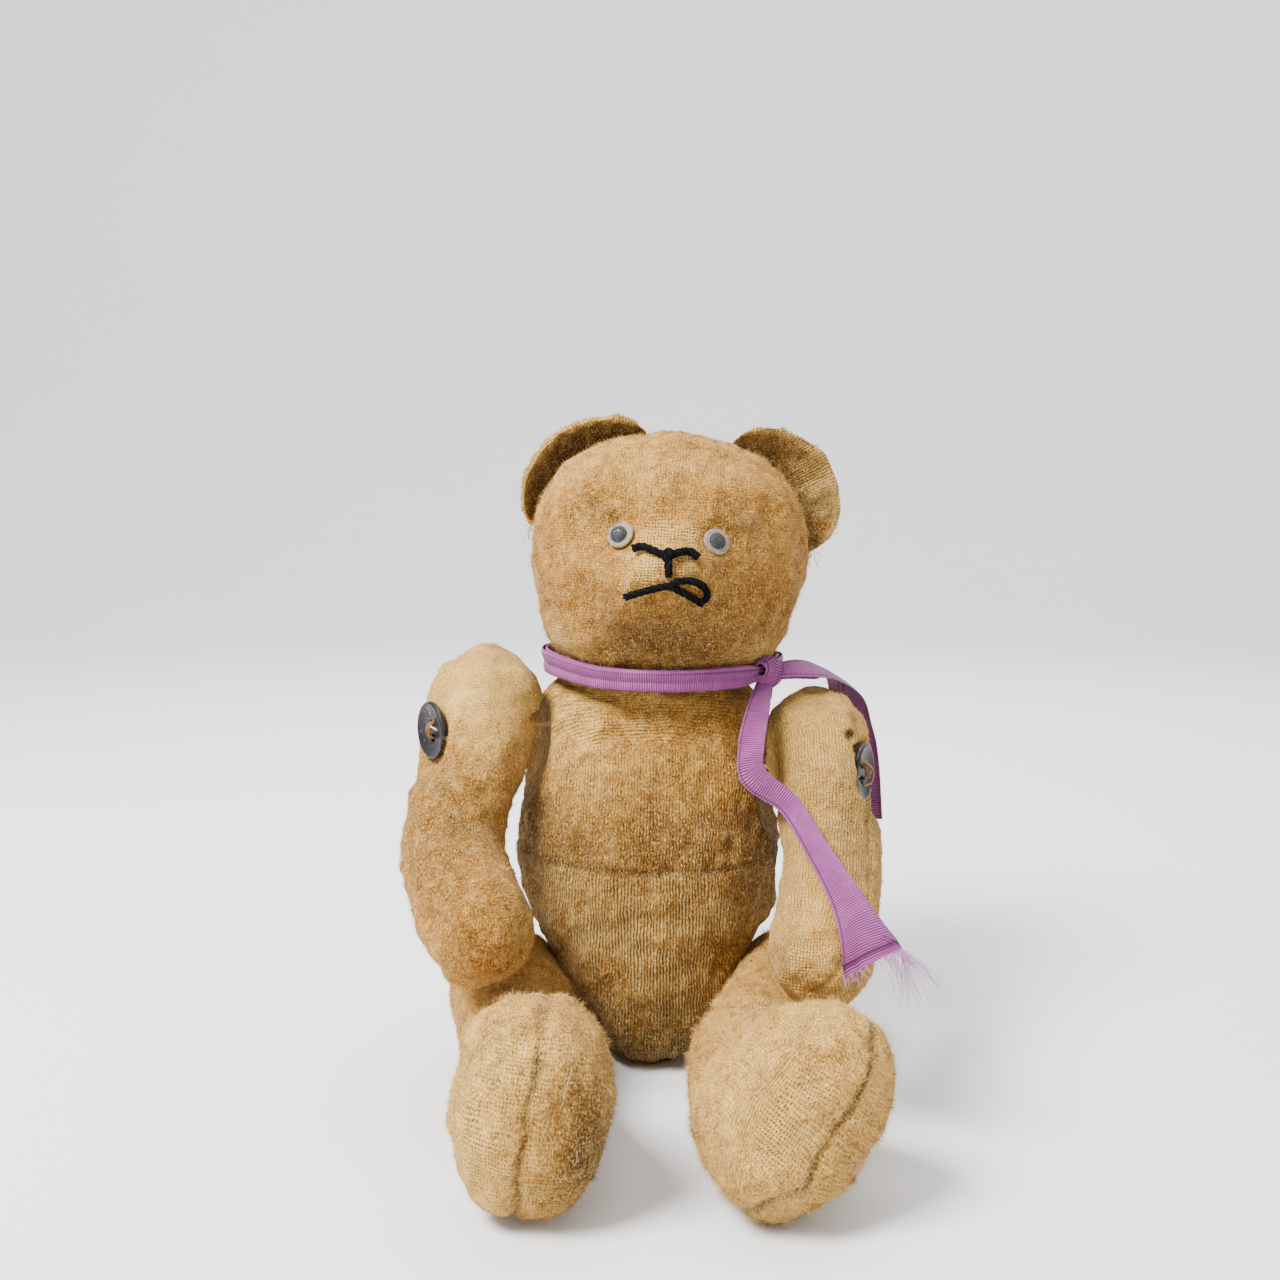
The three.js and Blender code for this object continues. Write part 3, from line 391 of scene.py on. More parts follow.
def pile(
    name: str, skin: Skin, count: int, length: float, seed: int, thin: Array | None = None, width: float = 0.1
) -> bpy.types.Object:
    """Makes a coat of short fibres: flat tapered blades that rise from the skin and lean over.

    A blade's tip is its root plus its length times a direction between outwards and its lean.

    Args:
        name: the object's name.
        skin: what the fibres stand on.
        count: how many fibres.
        length: their usual length.
        seed: fixes the random draws.
        thin: the share of fibres kept at each place of the skin.
        width: a fibre's width at its root.

    Returns:
        The object. Its Cloth, Cap and OFBake maps give each fibre the place of its root.
    """
    rng = np.random.default_rng(seed)
    columns = skin.points.shape[1]
    normal = skin.normals()
    rise = unit(np.gradient(skin.points, axis=0))
    beside = np.roll(skin.points, -1, axis=1)
    area = np.linalg.norm(beside - skin.points, axis=-1)[:-1] * np.linalg.norm(np.diff(skin.points, axis=0), axis=-1)
    weight = (area * (1 if thin is None else thin[:-1])).ravel()
    cell = rng.choice(weight.size, count, p=weight / weight.sum())
    i, j = np.divmod(cell, columns)
    f, g = rng.random((2, count, 1))
    k = (j + 1) % columns

    def at(grid: Array) -> Array:
        """A value of the skin at each root."""
        grid = grid if grid.ndim == 3 else grid[..., None]
        low = grid[i, j] * (1 - f) + grid[i, k] * f
        return low * (1 - g) + (grid[i + 1, j] * (1 - f) + grid[i + 1, k] * f) * g

    root, out, nap = at(skin.points), unit(at(normal)), at(rise)
    swirl = np.stack([waves(root, 9, seed + s) + 0.9 * waves(root, 3.2, seed + s + 5) for s in (1, 2, 3)], axis=-1)
    lean = unit(-nap * 0.5 + swirl * 0.9 + rng.normal(size=(count, 3)) * 0.45)
    lean = unit(lean - out * (lean * out).sum(-1, keepdims=True))
    tall = length * rng.uniform(0.35, 1.25, (count, 1)) * (1 + 0.35 * waves(root, 6, seed + 4)[:, None])
    upright = rng.uniform(0.3, 0.95, (count, 1))
    side = unit(np.cross(lean, out)) * width / 2 * rng.uniform(0.6, 1.4, (count, 1))
    tip = root + tall * (out * upright + lean * np.sqrt(1 - upright**2))
    root = root - out * 0.15
    points = np.stack([root - side, root + side, tip], axis=1)
    wrap_round = np.stack([skin.round[:, :-1], skin.round[:, 1:]], axis=-1)
    u = wrap_round[i, j, 0][:, None] * (1 - f) + wrap_round[i, j, 1][:, None] * f
    cloth = np.concatenate([u, at(skin.along)], axis=1)
    cap, cap_weight = skin.cap_map()
    cap_place = cap[i, j] * (1 - f) + cap[i, j + 1] * f
    blade = np.array([[0, 0], [1, 0], [0.5, 2]]) * 0.02

    def corners(flat: Array, spread: float) -> Array:
        """A map's value at every corner."""
        return (flat[:, None] + blade * spread).reshape(-1, 2)

    span = max(float(np.ptp(skin.round)), float(np.ptp(skin.along)))
    bake = (cloth - [skin.round.min(), skin.along.min()]) / span * 0.98 + 0.01
    maps = {"OFBake": corners(bake, 0.02), "Cloth": corners(cloth * MM, 0), "Cap": corners(cap_place * MM, 0)}
    values = {key: np.repeat(at(v)[:, 0], 3) for key, v in (skin.values | {"cap": cap_weight}).items()}
    values["shade"] = np.repeat(rng.normal(0, 1, count), 3) + np.tile([-0.7, -0.7, 0.7], count)
    return new_mesh(name, points.reshape(-1, 3), np.arange(count * 3).reshape(-1, 3).tolist(), maps, values)


# ------------------------------------------------------------------------------------------------ materials


class Graph:
    """The nodes of one material."""

    def __init__(self, name: str) -> None:
        """Makes a material with only an output node."""
        self.material = bpy.data.materials.new(name)
        self.material.use_nodes = True
        self.tree = self.material.node_tree
        self.tree.nodes.clear()

    def node(self, kind: str, settings: dict | None = None, inputs: dict | None = None) -> bpy.types.Node:
        """Adds a node.

        Args:
            kind: the node's type.
            settings: properties to set first.
            inputs: values or Signals for its sockets, by name or number.

        Returns:
            The node.
        """
        made = self.tree.nodes.new(kind)
        for key, value in (settings or {}).items():
            setattr(made, key, value)
        for key, value in (inputs or {}).items():
            socket = made.inputs[key]
            if isinstance(value, Signal):
                self.tree.links.new(value.socket, socket)
            elif isinstance(value, tuple) and len(value) == 3 and socket.type == "RGBA":
                socket.default_value = (*value, 1.0)
            else:
                socket.default_value = value
        return made

    def signal(
        self, kind: str, settings: dict | None = None, inputs: dict | None = None, output: str | int = 0
    ) -> "Signal":
        """Adds a node and gives one of its outputs."""
        return Signal(self, self.node(kind, settings, inputs).outputs[output])

    def attribute(self, name: str) -> "Signal":
        """A number that the piece carries on its vertices."""
        return self.signal("ShaderNodeAttribute", {"attribute_name": name}, output="Fac")

    def place(self) -> "Signal":
        """Where on the object, in metres."""
        return self.signal("ShaderNodeTexCoord", output="Object")

    def map(self, name: str) -> "Signal":
        """One of the piece's flat maps."""
        return self.signal("ShaderNodeUVMap", {"uv_map": name}, output="UV")

    def scaled(self, vector: "Signal", scale: tuple[float, float, float], turn: float = 0) -> "Signal":
        """A vector stretched by a factor each way, after a turn about Z."""
        inputs = {"Vector": vector, "Scale": scale, "Rotation": (0.0, 0.0, turn)}
        return self.signal("ShaderNodeMapping", None, inputs)

    def parts(self, vector: "Signal") -> tuple["Signal", "Signal", "Signal"]:
        """The three numbers of a vector."""
        split = self.node("ShaderNodeSeparateXYZ", None, {0: vector})
        return tuple(Signal(self, split.outputs[i]) for i in range(3))

    def noise(self, vector: "Signal", size: float, detail: float = 2, rough: float = 0.5) -> "Signal":
        """Noise from 0 to 1 whose blobs are about a size across, in the vector's own unit."""
        inputs = {"Vector": vector, "Scale": 1 / size, "Detail": detail, "Roughness": rough}
        return self.signal("ShaderNodeTexNoise", None, inputs, "Fac")

    def cells(self, vector: "Signal", size: float) -> "Signal":
        """Distance to the nearest of scattered points that are about a size apart, as a share of it."""
        return self.signal("ShaderNodeTexVoronoi", None, {"Vector": vector, "Scale": 1 / size}, "Distance")

    def mix(self, share: "Signal | float", first: "Signal | Colour", second: "Signal | Colour") -> "Signal":
        """A colour between two colours."""
        inputs = {0: share, 6: first, 7: second}
        return self.signal("ShaderNodeMix", {"data_type": "RGBA"}, inputs, 2)

    def tinted(self, colour: "Signal | Colour", by: "Signal | Colour", share: "Signal | float" = 1.0) -> "Signal":
        """A colour multiplied by another colour."""
        inputs = {0: share, 6: colour, 7: by}
        return self.signal("ShaderNodeMix", {"data_type": "RGBA", "blend_type": "MULTIPLY"}, inputs, 2)

    def bump(self, height: "Signal", distance: float) -> "Signal":
        """Normals tilted as a surface of that height, in metres, would tilt them."""
        inputs = {"Height": height, "Distance": distance, "Strength": 1.0}
        return self.signal("ShaderNodeBump", None, inputs)

    def finish(self, inputs: dict) -> bpy.types.Material:
        """Ends the graph in a Principled shader with these socket values, and gives the material."""
        shader = self.signal("ShaderNodeBsdfPrincipled", None, inputs)
        self.node("ShaderNodeOutputMaterial", None, {"Surface": shader})
        return self.material


class Signal:
    """A node's output that can be used in Python expressions on numbers."""

    def __init__(self, graph: Graph, socket: bpy.types.NodeSocket) -> None:
        """Wraps a socket."""
        self.graph = graph
        self.socket = socket

    def math(self, operation: str, *others: "Signal | float", clamp: bool = False) -> "Signal":
        """Result of a Math node on this number and others."""
        inputs = dict(enumerate((self, *others)))
        return self.graph.signal("ShaderNodeMath", {"operation": operation, "use_clamp": clamp}, inputs)

    def __add__(self, other: "Signal | float") -> "Signal":
        """Sum."""
        return self.math("ADD", other)

    __radd__ = __add__

    def __mul__(self, other: "Signal | float") -> "Signal":
        """Product."""
        return self.math("MULTIPLY", other)

    __rmul__ = __mul__

    def __sub__(self, other: "Signal | float") -> "Signal":
        """Difference."""
        return self.math("SUBTRACT", other)

    def __rsub__(self, other: float) -> "Signal":
        """A number less this one."""
        return self.math("MULTIPLY", -1.0) + other

    def __truediv__(self, other: "Signal | float") -> "Signal":
        """Quotient."""
        return self.math("DIVIDE", other)

    def __pow__(self, other: "Signal | float") -> "Signal":
        """Power."""
        return self.math("POWER", other)

    def sine(self) -> "Signal":
        """Sine."""
        return self.math("SINE")

    def size(self) -> "Signal":
        """Value without its sign."""
        return self.math("ABSOLUTE")

    def within(self) -> "Signal":
        """Value held between 0 and 1."""
        return self.math("ADD", 0.0, clamp=True)

    def step(self, low: float, high: float) -> "Signal":
        """Zero below low, one above high, and smooth between. low may be above high."""
        settings = {"interpolation_type": "SMOOTHSTEP"}
        inputs = {"Value": self, "From Min": low, "From Max": high}
        return self.graph.signal("ShaderNodeMapRange", settings, inputs)


@dataclass(frozen=True)
class Plush:
    """Old mohair cloth: short rubbed pile over a plain woven ground.

    The pieces carry numbers that it reads: bare is how far the pile is worn off, tone how orange (above 0) or how
    faded (below 0) it is, soil how dark it is from soiling and from painted shade, and rib how strongly the
    ground's upright ribs show.

    Attributes:
        gold: colour of sound pile.
        faded: colour of pale rubbed pile.
        rust: colour where the pile is still strongly dyed.
        grime: colour of soiling, and of the painted shade in hollows and on shaded sides.
        ground: colour of the bare threads.
        tips: colour of the cloth's lightest flecks, also used for painted highlight on raised locks and worn threads.
        fibre_tips: colour of the lightest fibres, also used for painted highlight towards their free ends.
        gap_shade: what the gaps between threads multiply the colour by.
        deep_shade: what the hollows between locks multiply it by.
        root_shade: what the fibres' roots multiply it by.
        pitch: distance from one thread to the next, in metres.
    """

    name: str
    gold: Colour = (0.43, 0.2, 0.03)
    faded: Colour = (0.78, 0.5, 0.14)
    rust: Colour = (0.21, 0.083, 0.01)
    grime: Colour = (0.055, 0.021, 0.004)
    ground: Colour = (0.66, 0.4, 0.1)
    tips: Colour = (0.88, 0.61, 0.2)
    fibre_tips: Colour = (0.9, 0.64, 0.25)
    gap_shade: Colour = (0.15, 0.1, 0.055)
    deep_shade: Colour = (0.4, 0.31, 0.2)
    root_shade: Colour = (0.35, 0.26, 0.17)
    pitch: float = 0.001

    def weave(self, g: Graph, flat: Signal) -> tuple[Signal, Signal]:
        """Height of the woven ground and of its ribs, each from 0 to 1.

        The ground has a hole wherever the sines of both ways are large; a rib is the size of the first sine.
        """
        sway = g.noise(flat, 0.004, 1) * 0.0011 + g.noise(flat, 0.0009, 1) * 0.0003
        u, v, _ = g.parts(flat)
        across = ((u + sway) * (math.pi / self.pitch)).sine()
        upward = ((v + sway) * (math.pi / (self.pitch * 0.92))).sine()
        return 1 - (across * upward).size() ** 1.3, across.size() ** 0.8 * (0.7 + upward.size() * 0.3)

    def material(self, fibres: bool = False) -> bpy.types.Material:
        """Makes the material, for the cloth itself or for the fibres on it."""
        g = Graph(self.name + (" fibres" if fibres else ""))
        place = g.place()
        bare, tone, soil, rib, cap = (g.attribute(key) for key in ("bare", "tone", "soil", "rib", "cap"))
        cloth, end = self.weave(g, g.map("Cloth")), self.weave(g, g.map("Cap"))
        cross, ribs = (side * (1 - cap) + tip * cap for side, tip in zip(cloth, end))
        broad = g.noise(place, 0.022, 3) - 0.5
        blotch = g.noise(place, 0.006, 3, 0.6) - 0.5
        clump = g.noise(place, 0.0016, 3, 0.65)
        fleck = g.noise(g.scaled(place, (1.0, 1.0, 0.45)), 0.00042, 2, 0.6)
        tuft = g.cells(place, 0.0013)
        lock = g.noise(g.scaled(place, (1.0, 1.0, 0.6)), 0.0032, 2, 0.5)
        worn = (bare + broad * 0.6 + blotch * 0.8 + (clump - 0.5) * 0.6).step(0.38, 0.72)
        warm = (tone + broad * 1.6 + blotch * 1.0).within()
        pale = ((tone + broad * 1.3 + blotch * 0.7) * -1.1).within()
        colour = g.mix(warm, self.gold, self.rust)
        colour = g.mix(pale, colour, self.faded)
        colour = g.mix(worn * 0.6, colour, self.ground)
        # darker by the soil number, with mottling: soiling and painted shade
        dirt_and_shade = (soil + blotch * 0.6 + (clump - 0.5) * 0.6 + (0.5 - fleck) * 0.45).within()
        colour = g.mix(dirt_and_shade * 0.9, colour, self.grime)
        thread = cross * (1 - rib) + ribs * rib
        gaps = (1 - thread).step(0.25, 0.85) * (worn * 0.5 + 0.5)
        colour = g.mix(gaps, colour, g.tinted(colour, self.gap_shade))
        dark = lock.step(0.55, 0.3) * 0.24 + clump.step(0.55, 0.3) * 0.5 + fleck.step(0.5, 0.36) * 0.6
        dark = (dark * (1 - worn * 0.4)).within()
        colour = g.mix(dark, colour, g.tinted(colour, self.deep_shade))
        # lighter flecks, and painted highlight on the raised tops of locks and of worn threads
        light = fleck.step(0.54, 0.7) * 0.5 + lock.step(0.52, 0.72) * 0.14 + thread.step(0.6, 1.0) * worn * 0.35
        light = light.within()
        colour = g.mix(light, colour, self.tips)
        if fibres:
            shade = g.attribute("shade")
            # lighter towards each fibre's free end: paler fibre ends and painted highlight; painted shade at the root
            colour = g.mix((shade * 0.2 + 0.1).within(), colour, self.fibre_tips)
            colour = g.mix((shade * -0.3).within(), colour, g.tinted(colour, self.root_shade))
            return g.finish({"Base Color": colour, "Roughness": 0.85, "Specular IOR Level": 0.15})
        height = lock * 0.8 + clump * 0.55 + fleck * 0.35 - tuft * 0.25
        height = height * (1 - worn * 0.7) + thread * (worn * 0.5 + 0.45)
        inputs = {
            "Base Color": colour,
            "Roughness": 0.92,
            "Sheen Weight": 0.12,
            "Sheen Roughness": 0.45,
            "Sheen Tint": (1.0, 0.78, 0.45, 1.0),
            "Specular IOR Level": 0.15,
            "Normal": g.bump(height, 0.001),
        }
        return g.finish(inputs)


@dataclass(frozen=True)
class Yarn:
    """Spun thread: fine fibres laid along it, with lighter and darker strands."""

    name: str
    colour: Colour
    light: Colour
    rough: float = 0.7

    def material(self) -> bpy.types.Material:
        """Makes the material."""
        g = Graph(self.name)
        fibre = g.noise(g.scaled(g.map("Cloth"), (1.0, 0.12, 1.0), 0.35), 0.00014, 2)
        blotch = g.noise(g.place(), 0.003, 2)
        shade = g.attribute("shade") * 0.18
        share = (fibre.step(0.42, 0.75) * 0.5 + blotch.step(0.5, 0.8) * 0.25 + shade).within()
        colour = g.mix(share, self.colour, self.light)
        inputs = {"Base Color": colour, "Roughness": self.rough, "Specular IOR Level": 0.08}
        return g.finish(inputs | {"Normal": g.bump(fibre, 0.00012)})


@dataclass(frozen=True)
class RibbonCloth:
    """Ribbed taffeta: fine ribs across the ribbon, a firm edge on both sides, and faded creases."""

    name: str
    colour: Colour
    faded: Colour
    shadow: Colour
    rib: float = 0.00072
    half_width: float = 0.010

    def material(self) -> bpy.types.Material:
        """Makes the material from the map Cloth: across the ribbon, and along it."""
        g = Graph(self.name)
        flat = g.map("Cloth")
        u, v, _ = g.parts(flat)
        sway = g.noise(flat, 0.003, 1) * 0.0004
        ribs = ((v + sway) * (math.pi / self.rib)).sine().size()
        warp = (u * (math.pi / 0.00022)).sine().size()
        share = u.size() / self.half_width
        edge = share.step(0.86, 0.9)
        line = share.step(0.84, 0.87) * share.step(0.93, 0.9)
        slub = g.noise(g.scaled(flat, (0.12, 1.0, 1.0)), 0.0004, 2)
        blotch = g.noise(g.place(), 0.007, 3)
        colour = g.mix(blotch.step(0.35, 0.75) * 0.6, self.colour, self.faded)
        # painted shade in the grooves between the ribs
        colour = g.mix((1 - ribs).step(0.3, 0.95) * 0.75, colour, self.shadow)
        colour = g.mix(slub.step(0.5, 0.75) * 0.3, colour, self.faded)
        # a dark woven line near each edge, in the same dark colour
        colour = g.mix(line * 0.7, colour, self.shadow)
        height = ribs ** 0.6 * (1 - edge * 0.6) + warp * 0.12 + slub * 0.25
        inputs = {
            "Base Color": colour,
            "Roughness": 0.42 + (1 - ribs) * 0.25,
            "Sheen Weight": 0.12,
            "Sheen Roughness": 0.3,
            "Sheen Tint": (1.0, 0.6, 0.95, 1.0),
            "Normal": g.bump(height, 0.0005),
        }
        return g.finish(inputs)


@dataclass(frozen=True)
class OldMetal:
    """Metal with a worn dark or dull coat: bright rubbed spots, fine scratches and a little rust."""

    name: str
    coat: Colour
    bare: Colour
    rust: Colour = (0.16, 0.07, 0.03)
    rough: float = 0.32
    metal: float = 0.85

    def material(self) -> bpy.types.Material:
        """Makes the material."""
        g = Graph(self.name)
        place = g.place()
        rubbed = g.noise(place, 0.0022, 4, 0.65).step(0.56, 0.7)
        spots = g.noise(place, 0.0007, 3, 0.7).step(0.6, 0.72)
        lines = g.noise(g.scaled(place, (1.0, 1.0, 0.06), 0.6), 0.0002, 2)
        colour = g.mix(rubbed * 0.5 + lines.step(0.6, 0.8) * 0.2, self.coat, self.bare)
        colour = g.mix(spots * 0.5, colour, self.rust)
        inputs = {
            "Base Color": colour,
            "Metallic": self.metal - spots * 0.6,
            "Roughness": self.rough + spots * 0.35 + lines * 0.12,
            "Normal": g.bump(lines * 0.3 + spots * 0.5, 0.00008),
        }
        return g.finish(inputs)


@dataclass(frozen=True)
class Glass:
    """Clear old glass with faint specks."""

    name: str

    def material(self) -> bpy.types.Material:
        """Makes the material."""
        g = Graph(self.name)
        specks = g.noise(g.place(), 0.0006, 2)
        colour = g.mix(specks.step(0.5, 0.8), (0.4, 0.4, 0.4), (0.6, 0.58, 0.55))
        inputs = {
            "Base Color": colour,
            "Roughness": 0.02 + specks.step(0.55, 0.8) * 0.06,
            "Alpha": 0.08 + specks.step(0.6, 0.8) * 0.02,
            "Specular IOR Level": 0.3,
        }
        return g.finish(inputs)


@dataclass(frozen=True)
class Enamel:
    """Glossy painted surface with fine unevenness."""

    name: str
    colour: Colour
    other: Colour
    rough: float = 0.08

    def material(self) -> bpy.types.Material:
        """Makes the material."""
        g = Graph(self.name)
        cloud = g.noise(g.place(), 0.0011, 3)
        colour = g.mix(cloud.step(0.4, 0.75), self.colour, self.other)
        inputs = {
            "Base Color": colour,
            "Roughness": self.rough + cloud * 0.1,
            "Specular IOR Level": 0.1,
            "Coat Weight": 0.02,
            "Coat Roughness": 0.1,
        }
        return g.finish(inputs)


@dataclass(frozen=True)
class Board:
    """Pressed fibre board: short fibres in a dull brown sheet."""

    name: str

    def material(self) -> bpy.types.Material:
        """Makes the material."""
        g = Graph(self.name)
        fibre = g.noise(g.scaled(g.place(), (1.0, 0.2, 1.0), 0.7), 0.0004, 3)
        colour = g.mix(fibre.step(0.3, 0.7), (0.2, 0.11, 0.05), (0.36, 0.23, 0.12))
        return g.finish({"Base Color": colour, "Roughness": 0.9, "Normal": g.bump(fibre, 0.0002)})


@dataclass(frozen=True)
class Paper:
    """Seamless pale backdrop paper with the faintest mottling."""

    name: str

    def material(self) -> bpy.types.Material:
        """Makes the material."""
        g = Graph(self.name)
        cloud = g.noise(g.place(), 0.35, 2)
        colour = g.mix(cloud, (0.76, 0.757, 0.755), (0.8, 0.797, 0.795))
        return g.finish({"Base Color": colour, "Roughness": 0.75})


PLUSH = Plush("Mohair plush")
BLACK_YARN = Yarn("Black yarn", (0.0015, 0.0015, 0.002), (0.011, 0.011, 0.014), 0.9)
BROWN_THREAD = Yarn("Brown thread", (0.16, 0.075, 0.03), (0.46, 0.26, 0.12))
TAN_THREAD = Yarn("Tan thread", (0.34, 0.2, 0.09), (0.66, 0.47, 0.27))
PALE_FIBRE = Yarn("Pale fibre", (0.6, 0.5, 0.36), (0.85, 0.78, 0.66))
VIOLET_FRAY = Yarn("Violet fray", (0.42, 0.14, 0.36), (0.85, 0.62, 0.8), 0.6)
VIOLET_RIBBON = RibbonCloth("Violet ribbon", (0.27, 0.043, 0.21), (0.42, 0.1, 0.34), (0.05, 0.005, 0.04))
DARK_BUTTON = OldMetal("Dark button", (0.028, 0.026, 0.028), (0.3, 0.28, 0.28), rough=0.36)
WIRE = OldMetal("Steel wire", (0.3, 0.29, 0.28), (0.55, 0.54, 0.52))
EYE_GLASS = Glass("Eye glass")
PUPIL = Enamel("Black pupil", (0.0015, 0.0015, 0.002), (0.004, 0.004, 0.006), 0.45)
EYE_BACK = Enamel("Cream eye back", (0.26, 0.2, 0.125), (0.15, 0.1, 0.05), 0.35)
FIBRE_BOARD = Board("Fibre board")
BACKDROP = Paper("Backdrop paper")


# ------------------------------------------------------------------------------------------------ body shapes


class Side(Enum):
    """The bear's own sides: right is towards -X."""

    RIGHT = "right"
    LEFT = "left"

    @property
    def sign(self) -> int:
        """-1 on the right and +1 on the left."""
        return -1 if self is Side.RIGHT else 1


def spot(points: Array, x: float, z: float, reach_x: float, reach_z: float, front: bool = True) -> Array:
    """A soft oval patch: one at its middle, falling as a bell curve across and up.

    Args:
        points: places, in any shape that ends in 3.
        x: the patch's middle across.
        z: the patch's middle in height.
        reach_x: its half width.
        reach_z: its half height.
        front: whether it lies on the front only.

    Returns:
        The patch's strength at each place.
    """
    bell = np.exp(-(((points[..., 0] - x) / reach_x) ** 2) - ((points[..., 2] - z) / reach_z) ** 2)
    middle = points[..., 1].mean()
    return bell * (points[..., 1] < middle) if front else bell


def about_axis(points: Array, place: Array, outward: Array) -> tuple[Array, Array]:
    """Distances of places out along an axis that starts at a place, and round it."""
    offset = points - place
    out = (offset * outward).sum(-1)
    return out, np.linalg.norm(offset - out[..., None] * outward, axis=-1)


def groove(distance: Array, sharp: float, soft: float, reach: float = 3.0, line: float = 0.8) -> Array:
    """Depth, below zero, of a seam at a distance from it: a narrow bell curve in a wide one.

    Args:
        distance: how far each place is from the seam.
        sharp: depth of the narrow part.
        soft: depth of the wide part.
        reach: half width of the wide part.
        line: half width of the narrow part.

    Returns:
        How far each place moves outwards.
    """
    return -sharp * np.exp(-((distance / line) ** 2)) - soft * np.exp(-((distance / reach) ** 2))


def blank_wear(points: Array, bare: float, tone: float, soil: float, rib: float) -> dict[str, Array]:
    """Starting values of the four wear numbers, the same all over."""
    numbers = {"bare": bare, "tone": tone, "soil": soil, "rib": rib}
    return {key: np.full(points.shape[:2], value) for key, value in numbers.items()}


def sag(skin: Skin, seed: int, size: float = 1.0) -> None:
    """Gives a stuffed skin its uneven lumps: three waves of falling length and height."""
    p = skin.points
    skin.push(size * (0.55 * waves(p, 22, seed) + 0.3 * waves(p, 9, seed + 1) + 0.1 * waves(p, 3.5, seed + 2)))


def kept(skin: Skin) -> Array:
    """The share of the pile that is left at each place: less where it is more worn."""
    return np.clip(1.15 - 1.6 * skin.values["bare"], 0.1, 1)


def trim(piece: bpy.types.Object, finish: bpy.types.Material, body: str, slot: str, *nodes: str) -> None:
    """Finishes a small piece and puts it on its body.

    Args:
        piece: the piece.
        finish: its material.
        body: the body it moves with.
        slot: not used.
        nodes: the solids it stands for.
    """
    dress(piece, finish)
    if nodes:
        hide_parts(*nodes)
    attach(piece, body)


def stuffed(
    skin: Skin, node: str, body: str, fibres: int, length: float, seed: int, thin: Array | None = None
) -> None:
    """Makes a stuffed piece in place of its solid: its cloth and the pile on it.

    Args:
        skin: its shape.
        node: the solid it stands for.
        body: the body it moves with.
        fibres: how many fibres its pile has.
        length: their usual length.
        seed: fixes the pile's random draws.
        thin: the share of fibres kept at each place of the skin.
    """
    cloth = skin.mesh(f"{node}_cloth")
    trim(cloth, PLUSH.material(), body, node, node)
    trim(pile(f"{node}_pile", skin, fibres, length, seed, thin), PLUSH.material(fibres=True), body, node)
    log.info("%s: %d places, %d fibres", node, skin.points.shape[0] * skin.points.shape[1], fibres)


